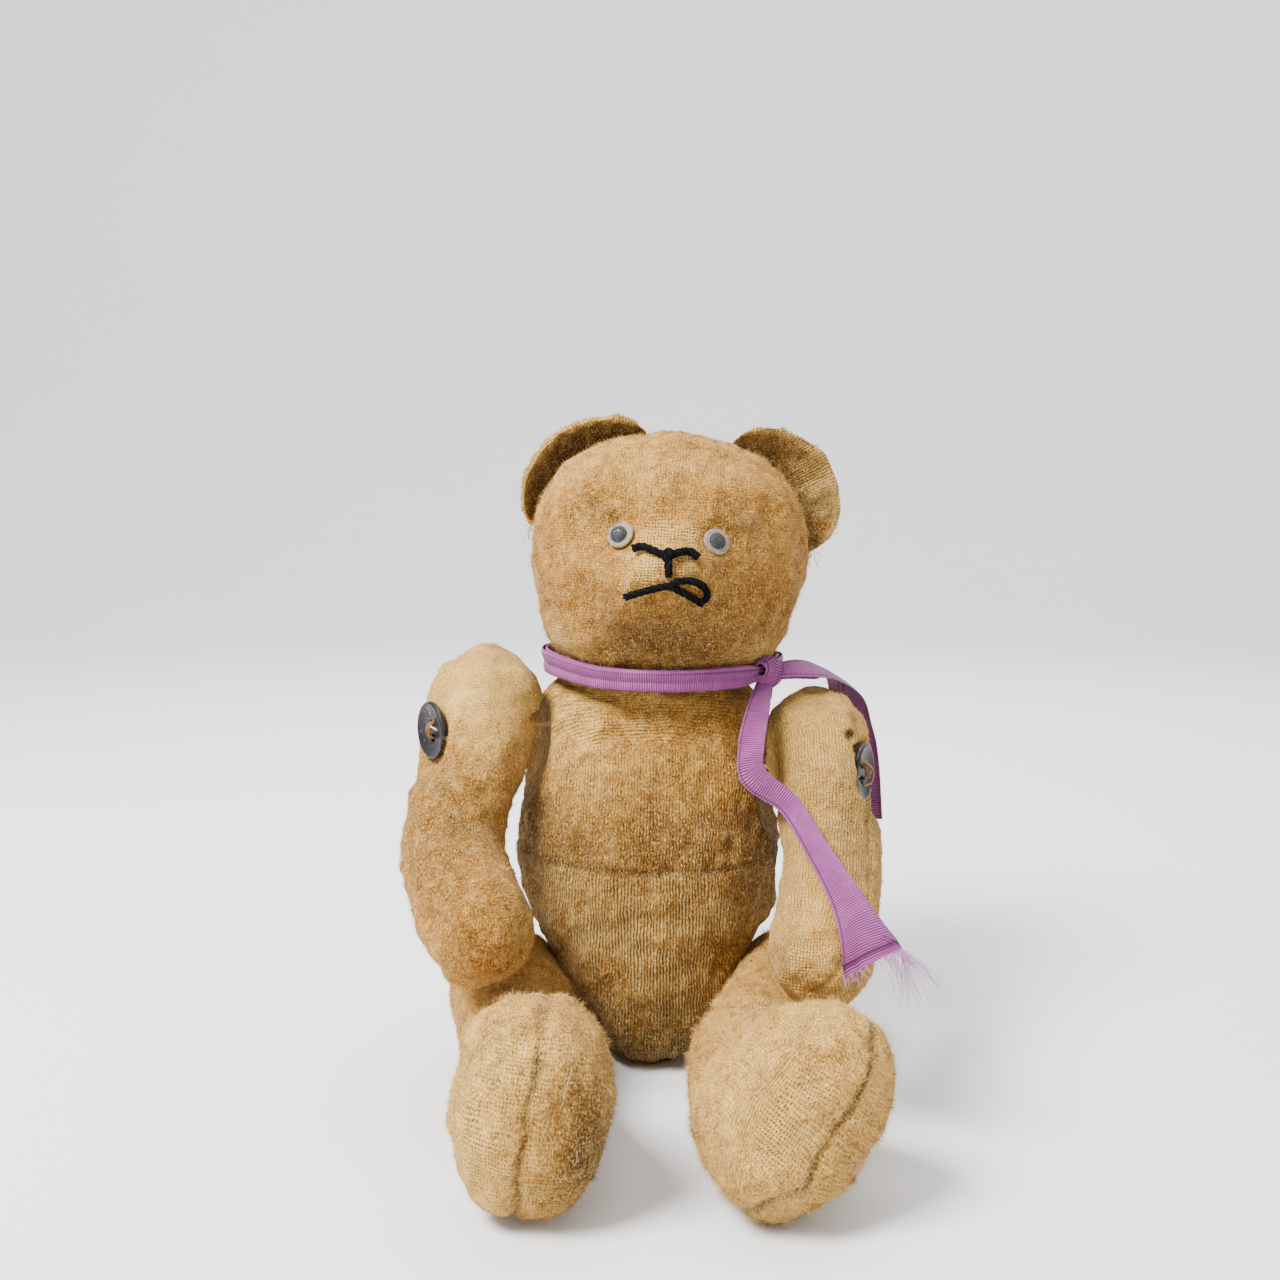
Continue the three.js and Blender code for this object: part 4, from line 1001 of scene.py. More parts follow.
@dataclass
class Torso:
    """The upright stuffed trunk, with hollows for the four limbs, a seam round the belly and one up the back.

    Attributes:
        lean: how far its middle line moves back for each step up.
        pile_reach: how near a hollow's joint the pile is left off, along the joint's axis.
        sockets: each hollow's place, outward direction, depth and radius.
    """

    height: float = 118.5
    lean: float = 0.16
    squareness: float = 2.15
    seam_height: float = 63.5
    rows: int = 150
    columns: int = 210
    half_width: Pairs = (
        (0, 11.5), (4, 17), (10, 22), (21, 29), (32, 35), (46, 40.4), (58, 42.5), (72, 43), (94, 41), (106, 38.5),
        (113, 36), (117, 32.5), (118.5, 29.5),
    )
    front: Pairs = (
        (0, 15), (4, 23), (10, 28), (21, 32.5), (32, 34.5), (46, 36), (70, 36.5), (94, 33), (106, 30.5), (113, 28.5),
        (117, 26.5), (118.5, 24.5),
    )
    back: Pairs = (
        (0, 15), (4, 22), (10, 27), (21, 31.5), (32, 34), (46, 35.5), (70, 36), (94, 34), (106, 31.5), (113, 29),
        (117, 27), (118.5, 25),
    )
    pile_reach: float = 36
    sockets: tuple = (
        ((-54, 0, 105), (-0.990, -0.139, 0), 22.5, 33),
        ((54.3, -5, 92), (0.990, -0.139, 0), 21.5, 33),
        ((-46, -5, 21), (-0.974, -0.225, 0), 20, 24),
        ((45.5, -5, 21), (0.974, -0.225, 0), 20, 24),
    )

    def surface(self) -> Skin:
        """The skin: at each height an oval, deeper in front than behind, its middle line leaning back."""
        t = np.linspace(0, 1, self.rows)
        height = (self.height * (t - 0.08 * np.sin(TAU * t) / 1.1))[:, None]
        angle = (np.linspace(0, TAU, self.columns, endpoint=False) + math.pi / 2)[None]
        across, along = oval_point(angle, self.squareness)
        depth = np.where(along > 0, profile(self.back)(height), profile(self.front)(height))
        places = (profile(self.half_width)(height) * across, self.lean * height + depth * along, height)
        points = np.stack(np.broadcast_arrays(*places), axis=-1)
        skin = Skin.of(points, self.columns // 2)
        sag(skin, 11)
        skin.push(-0.5)
        self.seams(skin)
        for place, outward, depth_in, radius in self.sockets:
            self.hollow(skin, np.array(place, float), np.array(outward), depth_in, radius)
        skin.points[..., 2] = np.maximum(skin.points[..., 2], 0)
        self.wear(skin)
        return skin

    def belly_seam(self, points: Array) -> Array:
        """Height of the belly's seam, which rises a little towards the sides."""
        return self.seam_height - 0.2 + 2.4 * (points[..., 0] / 40) ** 2 + 0.5 * waves(points, 60, 5)

    def seams(self, skin: Skin) -> None:
        """Sinks a shallow groove round the belly and another up the middle of the back."""
        p = skin.points
        belly = p[..., 2] - self.belly_seam(p)
        skin.push(groove(belly, 0.55, 0.35, 4, 0.75))
        spine = np.where(p[..., 1] > self.lean * p[..., 2], p[..., 0] - 0.6 * waves(p, 40, 6), 99)
        skin.push(groove(spine, 0.7, 0.4, 3.5))

    @staticmethod
    def hollow(skin: Skin, place: Array, outward: Array, depth: float, radius: float) -> None:
        """Pushes the skin back to an oval hollow's inner side wherever it stands inside it."""
        out, ring = about_axis(skin.points, place, outward)
        inner = -depth * np.sqrt(np.clip(1 - (ring / radius) ** 2, 0, None))
        move = np.where((ring < radius) & (out > inner), inner - out, 0)
        skin.points = skin.points + move[..., None] * outward

    def wear(self, skin: Skin) -> None:
        """Sets where the trunk is rubbed, faded, dyed and dirty, and where shade is painted on it."""
        p = skin.points
        values = blank_wear(p, 0.36, 0.08, 0.24, 0.75)
        low = smoothstep(p[..., 2], self.seam_height + 4, self.seam_height - 4)
        values["bare"] += 0.16 * low + 0.1 * spot(p, 0, 45, 30, 22)
        values["tone"] += -0.5 * spot(p, -24, 104, 16, 20) - 0.25 * spot(p, -8, 84, 26, 20)
        values["tone"] += 0.5 * spot(p, 34, 58, 16, 34) + 0.35 * spot(p, 0, 6, 30, 13) + 0.12 * low
        values["tone"] += -0.22 * spot(p, -12, 44, 20, 18) + 0.22 * spot(p, 4, 74, 34, 12)
        edge = smoothstep(np.abs(p[..., 0]), 27, 43)
        belly = np.abs(p[..., 2] - self.belly_seam(p)) < 0.9
        # painted shade: the sides next to the arms, the bottom between the legs and the top under the collar
        values["soil"] += 0.3 * edge + 0.35 * smoothstep(p[..., 2], 12, 0) + 0.12 * smoothstep(p[..., 2], 114, 118)
        # darker along the belly seam; painted shade on the lower trunk and again near the bottom
        values["soil"] += 0.3 * belly + 0.36 * smoothstep(p[..., 2], 98, 72) + 0.25 * smoothstep(p[..., 2], 30, 6)
        skin.values = values

    def build(self) -> Skin:
        """Makes the trunk and its pile."""
        skin = self.surface()
        hidden = smoothstep(skin.points[..., 2], 118, 114) * kept(skin)
        for place, outward, _, radius in self.sockets:
            out, ring = about_axis(skin.points, np.array(place, float), np.array(outward))
            hidden = hidden * np.where(np.abs(out) < self.pile_reach, smoothstep(ring, radius, radius + 2), 1)
        stuffed(skin, "torso", "torso", 66000, 1.05, 21, hidden)
        return skin


@dataclass
class Head:
    """The large round head with its short muzzle, in its own frame: base at 0, face to -Y."""

    neck: tuple[float, float, float] = (4, 17, 121.5)
    roll: float = math.radians(4)
    turn: float = math.radians(-2.2)
    height: float = 78
    dome: float = 40
    squareness: float = 2.3
    muzzle_height: float = 29
    muzzle_reach: float = 12
    muzzle_half: tuple[float, float] = (21, 17)
    rows: int = 170
    columns: int = 216
    half_width: Pairs = ((0, 32.5), (3, 36.7), (9, 40.3), (20, 43), (32, 45.3), (44, 46), (80, 46))
    back: Pairs = ((0, 29), (3, 33.5), (9, 37.5), (20, 41), (32, 43), (44, 43.5), (80, 43.5))
    front: Pairs = ((0, 29), (3, 33), (9, 36.5), (20, 38.5), (32, 39.5), (44, 40), (80, 40))
    eyes: tuple[float, float, float] = (-14.9, 14.9, 44.0)

    def shrink(self, height: Array) -> Array:
        """How far the dome has drawn in at a height."""
        return oval_share(np.maximum(height - (self.height - self.dome), 0) / self.dome, self.squareness)

    def muzzle(self, x: Array, height: Array) -> Array:
        """How far the muzzle stands out: a bell curve of the distance from its middle, with a flattened top."""
        across, up = x / self.muzzle_half[0], (height - self.muzzle_height) / self.muzzle_half[1]
        return self.muzzle_reach * np.exp(-((across**2 + up**2) ** 1.5))

    def face(self, x: Array, height: Array, proud: Array | float = 0) -> Array:
        """Places on the face in the head's own frame, from a distance across and a height."""
        x, height = np.broadcast_arrays(np.asarray(x, float), np.asarray(height, float))
        drawn = self.shrink(height)
        share = oval_share(x / (profile(self.half_width)(height) * drawn), self.squareness)
        depth = profile(self.front)(height) * drawn * share + self.muzzle(x, height)
        return np.stack([x, -depth - proud, height], axis=-1)

    def face_normal(self, x: float, height: float) -> Array:
        """Outward direction of the face: the cross product of small steps across and up."""
        across = self.face(x + 0.5, height) - self.face(x - 0.5, height)
        return unit(np.cross(across, self.face(x, height + 0.5) - self.face(x, height - 0.5)))

    def to_bear(self, points: Array) -> Array:
        """Places carried from the head's frame into the bear's: turned about Z, then Y, then moved to the neck."""
        turned = turn_about(points, np.array([0.0, 0.0, 1.0]), np.array(self.turn))
        return turn_about(turned, np.array([0.0, 1.0, 0.0]), np.array(self.roll)) + np.array(self.neck, float)

    def surface(self) -> Skin:
        """The skin: at each height an oval drawn in by the dome, with the muzzle on its front."""
        bottom = np.linspace(0, 0.22, 40, endpoint=False)
        t = np.concatenate([bottom, np.linspace(0.22, 1, self.rows - 40)])
        height = (self.height * np.sin(t * math.pi / 2))[:, None]
        height = np.minimum(height, self.height - 0.004)
        angle = (np.linspace(0, TAU, self.columns, endpoint=False) + math.pi / 2)[None]
        across, back = oval_point(angle, self.squareness)
        drawn = self.shrink(height)
        x = profile(self.half_width)(height) * drawn * across
        depth = np.where(back > 0, profile(self.back)(height), profile(self.front)(height)) * drawn
        bump = self.muzzle(x, height) * np.clip(-2 * back, 0, 1)
        skin = Skin.of(np.stack(np.broadcast_arrays(x, depth * back - bump, height), axis=-1), self.columns // 2)
        sag(skin, 31, 0.75)
        skin.push(-1.1)
        low = smoothstep(skin.points[..., 2], 34, 0)
        skin.points[..., 0] -= low * np.where(skin.points[..., 0] > 0, 0.075, 0.03) * skin.points[..., 0]
        self.seams(skin)
        self.wear(skin)
        return skin

    def seams(self, skin: Skin) -> None:
        """Sinks the eyes, the chin's seam, two brow darts, the seams under the ears and the one up the back."""
        p = skin.points
        front = p[..., 1] < 0
        for x in self.eyes[:2]:
            distance = np.hypot(p[..., 0] - x, p[..., 2] - self.eyes[2])
            pit, rim = np.exp(-((distance / 5.2) ** 4)), np.exp(-(((distance - 7) / 2) ** 2))
            skin.push(np.where(front, -1.35 * pit + 0.5 * rim, 0))
        middle = np.abs(p[..., 0] - 1.0 - 0.5 * waves(p, 25, 7))
        chin = front & (p[..., 2] < 30)
        spine = p[..., 1] > 0
        skin.push(np.where(chin, groove(middle, 0.75, 0.5), 0))
        skin.push(np.where(spine, groove(middle, 0.7, 0.4), 0))
        for side in (-1, 1):
            dart = np.abs(p[..., 0] - side * (13 + 0.16 * (p[..., 2] - 50)))
            reach = smoothstep(p[..., 2], 52, 56) * smoothstep(p[..., 2], 75, 68)
            skin.push(np.where(front, -0.4 * np.exp(-((dart / 0.9) ** 2)) * reach, 0))

    def wear(self, skin: Skin) -> None:
        """Sets where the head is rubbed, faded, dyed and dirty, and where shade is painted on it."""
        p = skin.points
        values = blank_wear(p, 0.2, 0.0, 0.04, 0.25)
        values["bare"] += 0.5 * spot(p, -6, 36, 7, 8) + 0.4 * spot(p, 3, 46, 10, 5) + 0.25 * spot(p, 7, 34, 6, 6)
        values["bare"] += 0.4 * spot(p, -33, 8, 8, 8) + 0.35 * spot(p, 32, 8, 9, 8) + 0.2 * spot(p, 0, 16, 10, 8)
        values["tone"] += -0.25 * spot(p, -5, 70, 30, 12) - 0.25 * spot(p, -5, 38, 9, 8) - 0.4 * spot(p, -31, 9, 14, 8)
        values["tone"] += 0.3 * spot(p, -19, 52, 11, 5) + 0.5 * spot(p, 22, 50, 15, 7) + 0.2 * spot(p, 0, 54, 10, 4)
        values["tone"] += 0.25 * spot(p, -24, 27, 12, 12) + 0.45 * spot(p, 26, 24, 16, 15)
        values["tone"] += -0.35 * spot(p, 33, 8, 12, 7) + 0.5 * spot(p, 0, 13, 20, 10)
        # darker patches above the eyes; painted shade under the chin
        values["soil"] += 0.32 * spot(p, -20, 50, 9, 4) + 0.36 * spot(p, 20, 49, 10, 5) + 0.75 * spot(p, 0, 12, 22, 10)
        # painted shade on the left cheek, away from the light, and round the head's bottom
        values["soil"] += 0.12 * spot(p, 22, 24, 20, 16) + 0.4 * smoothstep(p[..., 2], 7, 0)
        skin.values = values

    def build(self) -> Skin:
        """Makes the head and its pile, carried to the neck."""
        skin = self.surface()
        eyes = sum(spot(skin.points, x, self.eyes[2], 4.4, 4.4) for x in self.eyes[:2])
        thin = kept(skin) * smoothstep(eyes, 0.4, 0.25)
        skin.points = self.to_bear(skin.points)
        stuffed(skin, "head", "head", 110000, 1.3, 41, thin)
        return skin


@dataclass
class Ear:
    """A cupped half disc set on the head's outline, curling to the front, with shade painted on its inner side.

    Attributes:
        start: angle of its first end from upright, going down its side.
        length: how far it runs round the head, as an angle.
        curl: how far each section turns towards the front.
        reach: how far it stands out at its middle.
        forward: its ends' place in depth, and how far its middle lies behind them.
    """

    side: Side
    start: float
    length: float
    curl: float
    reach: float
    forward: tuple[float, float]
    thickness: float = 3.4
    middle_height: float = 40
    rows: int = 90
    steps: int = 30

    def outline(self, head: Head, angle: Array) -> Array:
        """Distance from the ears' centre to the head's outline at each angle, halving the gap each time."""
        inside, outside = np.full(angle.shape, 10.0), np.full(angle.shape, 60.0)
        for _ in range(24):
            radius = (inside + outside) / 2
            height = self.middle_height + radius * np.cos(angle)
            level = np.minimum(height, head.height)
            wide = profile(head.half_width)(level) * head.shrink(level)
            within = (height < head.height) & (np.abs(radius * np.sin(angle)) < wide)
            inside, outside = np.where(within, radius, inside), np.where(within, outside, radius)
        return outside

    def surface(self, head: Head) -> Skin:
        """The skin: each section is an arc that leaves the head outwards and turns to the front, with a thickness."""
        u = ((1 - np.cos(math.pi * (np.arange(self.rows) + 0.4) / (self.rows - 0.2))) / 2)[:, None]
        angle = self.side.sign * (self.start + u * self.length)
        outward = np.concatenate([np.sin(angle), 0 * u, np.cos(angle)], axis=1)
        ruffle = 1 + 0.02 * np.sin(17 * u) + 0.008 * np.sin(41 * u + 1)
        bend = self.reach * np.sin(math.pi * u) ** 0.55 / self.curl * ruffle
        depth = self.forward[0] - self.forward[1] * (2 * u - 1) ** 2
        base = np.concatenate([0 * u, depth, 0 * u + self.middle_height], axis=1)
        base = base + outward * (self.outline(head, angle) - 0.6)
        there = np.linspace(0, 1, self.steps)
        share = np.concatenate([there, there[::-1]])[None]
        face = np.repeat([1.0, -1.0], self.steps)[None]
        rim = np.sqrt(np.clip(1 - ((share - 0.8) / 0.2) ** 2, 0, 1))
        thick = self.thickness * (1 - 0.35 * share) * np.sin(math.pi * u) ** 0.3 * 0.5 * face
        thick = thick * np.where(share > 0.8, rim, 1)
        turn = self.curl * share
        out = (bend * np.sin(turn) + thick * np.sin(turn))[..., None] * outward[:, None]
        back = (-bend * (1 - np.cos(turn)) + thick * np.cos(turn))[..., None] * np.array([0.0, 1.0, 0.0])
        points = base[:, None] + out + back
        if self.side is Side.RIGHT:
            points, face, share = points[:, ::-1], face[:, ::-1], share[:, ::-1]
        skin = Skin.of(points)
        skin.push(0.28 * waves(points, 8, 51) + 0.15 * waves(points, 3, 52))
        inner = np.broadcast_to(face < 0, points.shape[:2])
        values = blank_wear(points, 0.5, 0.15, 0.2, 0.3)
        deep = self.side is Side.RIGHT
        # painted shade inside the cup, most at its root and in the more curled right ear, and where it meets the head
        values["soil"] += np.where(inner, (1.15 if deep else 0.6) * (1.1 - share), 0) + 0.2 * (share < 0.12)
        values["tone"] += np.where(inner, 0.45 if deep else 0.4, 0)
        values["bare"] += 0.3 * (share > 0.85)
        skin.values = values
        skin.points = head.to_bear(skin.points)
        return skin

    def build(self, head: Head) -> None:
        """Makes the ear, its pile, and the frayed threads at its lower end."""
        node = f"ear_{self.side.value}"
        skin = self.surface(head)
        stuffed(skin, node, "head", 15000, 1.1, 53)
        rng = np.random.default_rng(54)
        tip = skin.points[-3].mean(0)
        t = np.linspace(0, 1, 6)[None, :, None]
        aim = np.array([self.side.sign * 0.25, -0.25, -0.9]) + rng.normal(0, 0.45, (14, 1, 3))
        curl = rng.normal(0, 1.0, (14, 1, 3)) * t**2
        paths = tip + rng.normal(0, 0.7, (14, 1, 3)) + aim * t * rng.uniform(1.5, 4.5, (14, 1, 1)) + curl
        fray = tubes(f"{node}_fray", paths, 0.11, 4)
        trim(fray, TAN_THREAD.material(), "head", node)


@dataclass
class Limb:
    """A stuffed limb: oval sections carried along a smooth curve, with both ends rounded.

    Attributes:
        node: its solid's name, which is also its body's.
        points: places that its middle line passes through.
        across: the way through its thickness at its joint.
        roll: turn of its sections, and the two distances between which it grows from nothing.
        toe: how far the sections' middles shift towards the toe, by distance.
    """

    node: str
    points: Sequence[tuple[float, float, float]]
    across: tuple[float, float, float]
    half_width: Pairs
    half_thickness: Pairs
    slimmer: float = 1.0
    roll: tuple[float, float, float] = (0.0, 0.0, 1.0)
    toe: Pairs = ((0, 0), (1, 0))
    caps: tuple[float, float] = (19, 17)
    squareness: float = 2.1
    seed: int = 60
    rows: int = 130
    columns: int = 112

    def section(self, distance: Array, length: float, path: Array) -> tuple[Array, Array, Array]:
        """Middle, thick way and wide way of the section at each distance."""
        places = np.linspace(0, length, len(path))
        centre = on_path(path, places, distance)
        forward = unit(on_path(unit(np.gradient(path, axis=0)), places, distance))
        across = np.broadcast_to(np.array(self.across, float), forward.shape)
        thick = unit(across - forward * (across * forward).sum(-1, keepdims=True))
        angle, low, high = self.roll
        thick = turn_about(thick, forward, angle * smoothstep(distance, low, high))
        wide = unit(np.cross(forward, thick))
        return centre + wide * profile(self.toe)(distance)[:, None], thick, wide

    def surface(self) -> Skin:
        """The skin: each place is the section's middle plus the oval's two parts along the thick and wide ways."""
        path = smooth_path(self.points, 400)
        length = distances(path)[-1]
        cap_rows = self.rows // 4
        quarter = np.linspace(0.03, math.pi / 2, cap_rows, endpoint=False)
        start = self.caps[0] * (1 - np.cos(quarter))
        end = length - self.caps[1] * (1 - np.cos(quarter[::-1]))
        middle = np.linspace(self.caps[0], length - self.caps[1], self.rows - 2 * cap_rows + 1)[:-1]
        distance = np.concatenate([start, middle, end])
        rounding = oval_share(np.maximum(1 - distance / self.caps[0], 0), 2)
        rounding = rounding * oval_share(np.maximum(1 - (length - distance) / self.caps[1], 0), 2.2)
        centre, thick, wide = self.section(distance, length, path)
        angle = np.linspace(0, TAU, self.columns, endpoint=False)[None]
        a, b = oval_point(angle, self.squareness)
        size = rounding * self.slimmer
        depth = (profile(self.half_thickness)(distance) * size)[:, None] * a
        width = (profile(self.half_width)(distance) * size)[:, None] * b
        points = centre[:, None] + thick[:, None] * depth[..., None] + wide[:, None] * width[..., None]
        return Skin.of(points)

    def build(self, wear: Callable[[Skin], None], fibres: int, length: float) -> Skin:
        """Makes the limb and its pile.

        Args:
            wear: sets the skin's wear numbers and sinks its seams.
            fibres: how many fibres its pile has.
            length: their usual length.

        Returns:
            Its skin.
        """
        skin = self.surface()
        sag(skin, self.seed, 0.8)
        skin.push(-0.6)
        wear(skin)
        skin.points[..., 2] = np.maximum(skin.points[..., 2], 0)
        stuffed(skin, self.node, self.node, fibres, length, self.seed + 5, kept(skin))
        return skin


ARM_WIDTH: Pairs = ((0, 18.5), (14, 19.5), (30, 19), (50, 17.6), (72, 16.2), (95, 16.4), (130, 16))
ARM_THICKNESS: Pairs = ((0, 18), (14, 18.6), (30, 18.2), (50, 16.8), (72, 15.8), (95, 15.8), (130, 15.6))
LEG_WIDTH: Pairs = (
    (0, 17), (9, 18.6), (19, 19), (42, 18.4), (66, 16.8), (86, 16.6), (98, 20), (109, 25.2), (120, 27.8), (140, 27.4),
)
LEG_THICKNESS: Pairs = (
    (0, 16), (9, 17.6), (19, 18), (42, 18), (66, 17.2), (86, 16.8), (98, 17.8), (109, 19.4), (120, 20), (140, 19.4),
)


TOE_SHIFT: Pairs = ((0, 0), (84, 0.5), (98, 4), (109, 7.5), (120, 8.5), (140, 8.5))


def leg(side: Side, points: Sequence[tuple[float, float, float]], roll: tuple[float, float, float], seed: int) -> Limb:
    """A leg through places, its foot's middle shifted towards the toe, which points outwards."""
    toe = tuple((distance, side.sign * shift) for distance, shift in TOE_SHIFT)
    across = (0.974 * side.sign, -0.225, 0)
    return Limb(
        f"leg_{side.value}", points, across, LEG_WIDTH, LEG_THICKNESS, roll=roll, toe=toe, caps=(18, 15),
        squareness=2.15, seed=seed, rows=150, columns=132,
    )


@dataclass
class Shoulder:
    """Where an arm's button sits: the joint's place, the button's direction and its seat's distance from it."""

    place: tuple[float, float, float]
    turn: float
    seat: float
    side: Side
    radius: float = 9.2

    @property
    def outward(self) -> Array:
        """The button's outward direction: turned from the side towards the front."""
        return np.array([self.side.sign * math.cos(self.turn), -math.sin(self.turn), 0.0])

    def at(self, out: float, up: float = 0.0, ahead: float = 0.0) -> Array:
        """A place near the button: distances outwards from the joint, up, and to the front along its face."""
        front = np.cross(self.outward, UP) * -self.side.sign
        return np.array(self.place) + self.outward * out + np.array(UP) * up - front * ahead

    def dimple(self, skin: Skin) -> None:
        """Draws the arm's skin in under the button: a flat seat with a soft swollen rim round it."""
        out, ring = about_axis(skin.points, np.array(self.place), self.outward)
        seat = self.seat - 0.5 + 5.0 * smoothstep(ring, self.radius * 0.8, self.radius * 1.75)
        move = np.where((out > 0) & (ring < self.radius * 1.9), np.minimum(seat - out, 0), 0)
        skin.points = skin.points + move[..., None] * self.outward


RIGHT_SHOULDER = Shoulder((-54, 0, 105), math.radians(35), 15.6, Side.RIGHT)
LEFT_SHOULDER = Shoulder((54.3, -5, 92), math.radians(27), 12.4, Side.LEFT)


@dataclass
class Arms:
    """Both arms, tied on with string and buttons."""

    right: Limb = field(
        default_factory=lambda: Limb(
            "arm_right",
            (
                (-53, 15, 128), (-53, 7, 114), (-54.5, -2, 100), (-58.5, -14, 85), (-59, -30, 69), (-50, -48, 56.5),
                (-42.5, -62, 45),
            ),
            (-0.819, -0.574, 0), ARM_WIDTH, ARM_THICKNESS, seed=61,
        )
    )
    left: Limb = field(
        default_factory=lambda: Limb(
            "arm_left",
            (
                (53.5, 13, 115), (54, 4, 101), (54.8, -8, 89), (55, -23, 76.5), (52.5, -41, 64), (48, -58, 53.5),
                (42, -73, 43),
            ),
            (0.891, -0.454, 0), ARM_WIDTH, ARM_THICKNESS, slimmer=0.94, seed=71,
        )
    )

    @staticmethod
    def seam(skin: Skin, column: int) -> None:
        """Sinks a seam along one column of the skin."""
        around = skin.round[:, :-1] - skin.round[:, column : column + 1] - 0.5 * waves(skin.points, 25, 8)
        skin.push(groove(around, 0.6, 0.35))

    def wear_right(self, skin: Skin) -> None:
        """Right arm: a bare faded patch at the shoulder, shaggy and mottled lower down."""
        RIGHT_SHOULDER.dimple(skin)
        self.seam(skin, 66)
        p = skin.points
        values = blank_wear(p, 0.36, -0.05, 0.06, 0.5)
        values["bare"] += 0.45 * spot(p, -52, 118, 18, 13, False) - 0.2 * smoothstep(p[..., 2], 80, 60)
        values["tone"] += -0.5 * spot(p, -52, 116, 20, 15, False) + 0.25 * spot(p, -62, 78, 14, 20, False)
        values["tone"] += 0.2 * spot(p, -46, 52, 12, 12, False)
        values["bare"] += 0.45 * smoothstep(p[..., 0], -44, -37)
        # painted shade on the side towards the trunk; darker round the arm's middle too
        values["soil"] += 0.3 * smoothstep(p[..., 0], -44, -36) + 0.5 * spot(p, -60, 82, 24, 22, False)
        # a small dark spot painted as the shade inside a hole
        hole = np.hypot(p[..., 0] + 35.8, p[..., 2] - 108.5)
        values["soil"] += 1.3 * (hole < 1.7) * (p[..., 1] < 0)
        skin.values = values

    def wear_left(self, skin: Skin) -> None:
        """Left arm: open bands of bare weave across it, and two moth holes above the button."""
        LEFT_SHOULDER.dimple(skin)
        self.seam(skin, 9)
        p = skin.points
        values = blank_wear(p, 0.58, 0.0, 0.1, 0.6)
        bands = 0.5 + 0.5 * np.sin(p[..., 2] * 1.15 + 0.8 * waves(p, 18, 9))
        values["bare"] += 0.22 * bands * smoothstep(p[..., 2], 60, 75)
        values["tone"] += -0.4 * spot(p, 52, 107, 16, 12, False) + 0.35 * spot(p, 60, 84, 10, 14, False)
        values["tone"] += -0.2 * spot(p, 46, 56, 12, 10, False)
        values["bare"] += 0.4 * smoothstep(p[..., 0], 44, 37)
        # painted shade on the side towards the trunk; darker round the arm's middle too
        values["soil"] += 0.25 * smoothstep(p[..., 0], 44, 37) + 0.5 * spot(p, 60, 84, 18, 22, False)
        for x, z, size in ((62.0, 104.2, 1.5), (63.5, 100.4, 1.0)):
            hole = np.hypot(p[..., 0] - x, p[..., 2] - z)
            dip = np.exp(-((hole / size) ** 4)) * (p[..., 1] < -8)
            # painted shade in each dent that stands for a moth hole
            values["soil"] += 1.3 * dip
            skin.points = skin.points + 2.2 * dip[..., None] * [-0.3, 1.0, 0.0]
        skin.values = values

    def build(self) -> dict[Side, Skin]:
        """Makes both arms."""
        return {
            Side.RIGHT: self.right.build(self.wear_right, 40000, 1.25),
            Side.LEFT: self.left.build(self.wear_left, 22000, 1.1),
        }


@dataclass
class Legs:
    """Both legs, stretched forward, their soles to the front and their toes turned out."""

    right: Limb = field(
        default_factory=lambda: leg(
            Side.RIGHT,
            ((-50, 13, 21), (-46, -5, 21), (-40, -33, 20), (-34, -62, 19.5), (-31, -92, 20), (-30.5, -122, 20)),
            (math.radians(-8), 20, 90),
            81,
        )
    )
    left: Limb = field(
        default_factory=lambda: leg(
            Side.LEFT,
            ((49.5, 13, 21), (45.5, -5, 21), (37, -33, 20), (27, -62, 19.5), (27, -90, 19.5), (37, -121.5, 19.5)),
            (math.radians(-38), 5, 100),
            91,
        )
    )

    @staticmethod
    def sole_seam(skin: Skin) -> Array:
        """Sinks the seam that runs over the sole from heel to toe and back along the foot, and gives its nearness."""
        quarter = skin.points.shape[1] // 4
        around = skin.round[:, :-1] - 0.5 * waves(skin.points, 20, 12)
        near = np.minimum(*(np.abs(around - skin.round[:, c : c + 1]) for c in (quarter, 3 * quarter)))
        cap = smoothstep(skin.along, skin.along.max() - 60, skin.along.max() - 35)
        skin.push(cap * groove(near, 0.75, 0.5, 3.2))
        return np.exp(-((near / 1.2) ** 2)) * cap

    def wear_right(self, skin: Skin) -> None:
        """Right leg: a pale rubbed sole with bare weave beside its seam."""
        seam = self.sole_seam(skin)
        p = skin.points
        values = blank_wear(p, 0.38, -0.42, 0.03, 0.3)
        values["bare"] += 0.3 * spot(p, -42, 22, 8, 14) + 0.15 * spot(p, -30, 45, 10, 8)
        values["tone"] += 0.4 * smoothstep(p[..., 1], -105, -80)
        values["tone"] += 0.5 * spot(p, -18, 22, 7, 22) + 0.25 * spot(p, -38, 4, 16, 7)
        # soiling and painted shade on the foot's inner side; darker along the seam; painted shade on the underside
        values["soil"] += 1.0 * spot(p, -15, 22, 8, 24) + 0.7 * seam + 0.25 * smoothstep(p[..., 2], 5, 0)
        skin.values = values

    def wear_left(self, skin: Skin) -> None:
        """Left leg: a pale, shaggy sole."""
        seam = self.sole_seam(skin)
        p = skin.points
        values = blank_wear(p, 0.36, -0.5, 0.03, 0.3)
        values["bare"] += 0.2 * spot(p, 30, 30, 14, 12)
        values["tone"] += 0.35 * smoothstep(p[..., 1], -105, -80) + 0.2 * spot(p, 50, 22, 8, 14)
        # darker along the sole's seam; painted shade on the underside by the floor
        values["soil"] += 0.7 * seam + 0.22 * smoothstep(p[..., 2], 5, 0)
        skin.values = values

    def build(self) -> dict[Side, Skin]:
        """Makes both legs."""
        return {
            Side.RIGHT: self.right.build(self.wear_right, 64000, 1.5),
            Side.LEFT: self.left.build(self.wear_left, 72000, 1.7),
        }


# ------------------------------------------------------------------------------------------------ sewn details


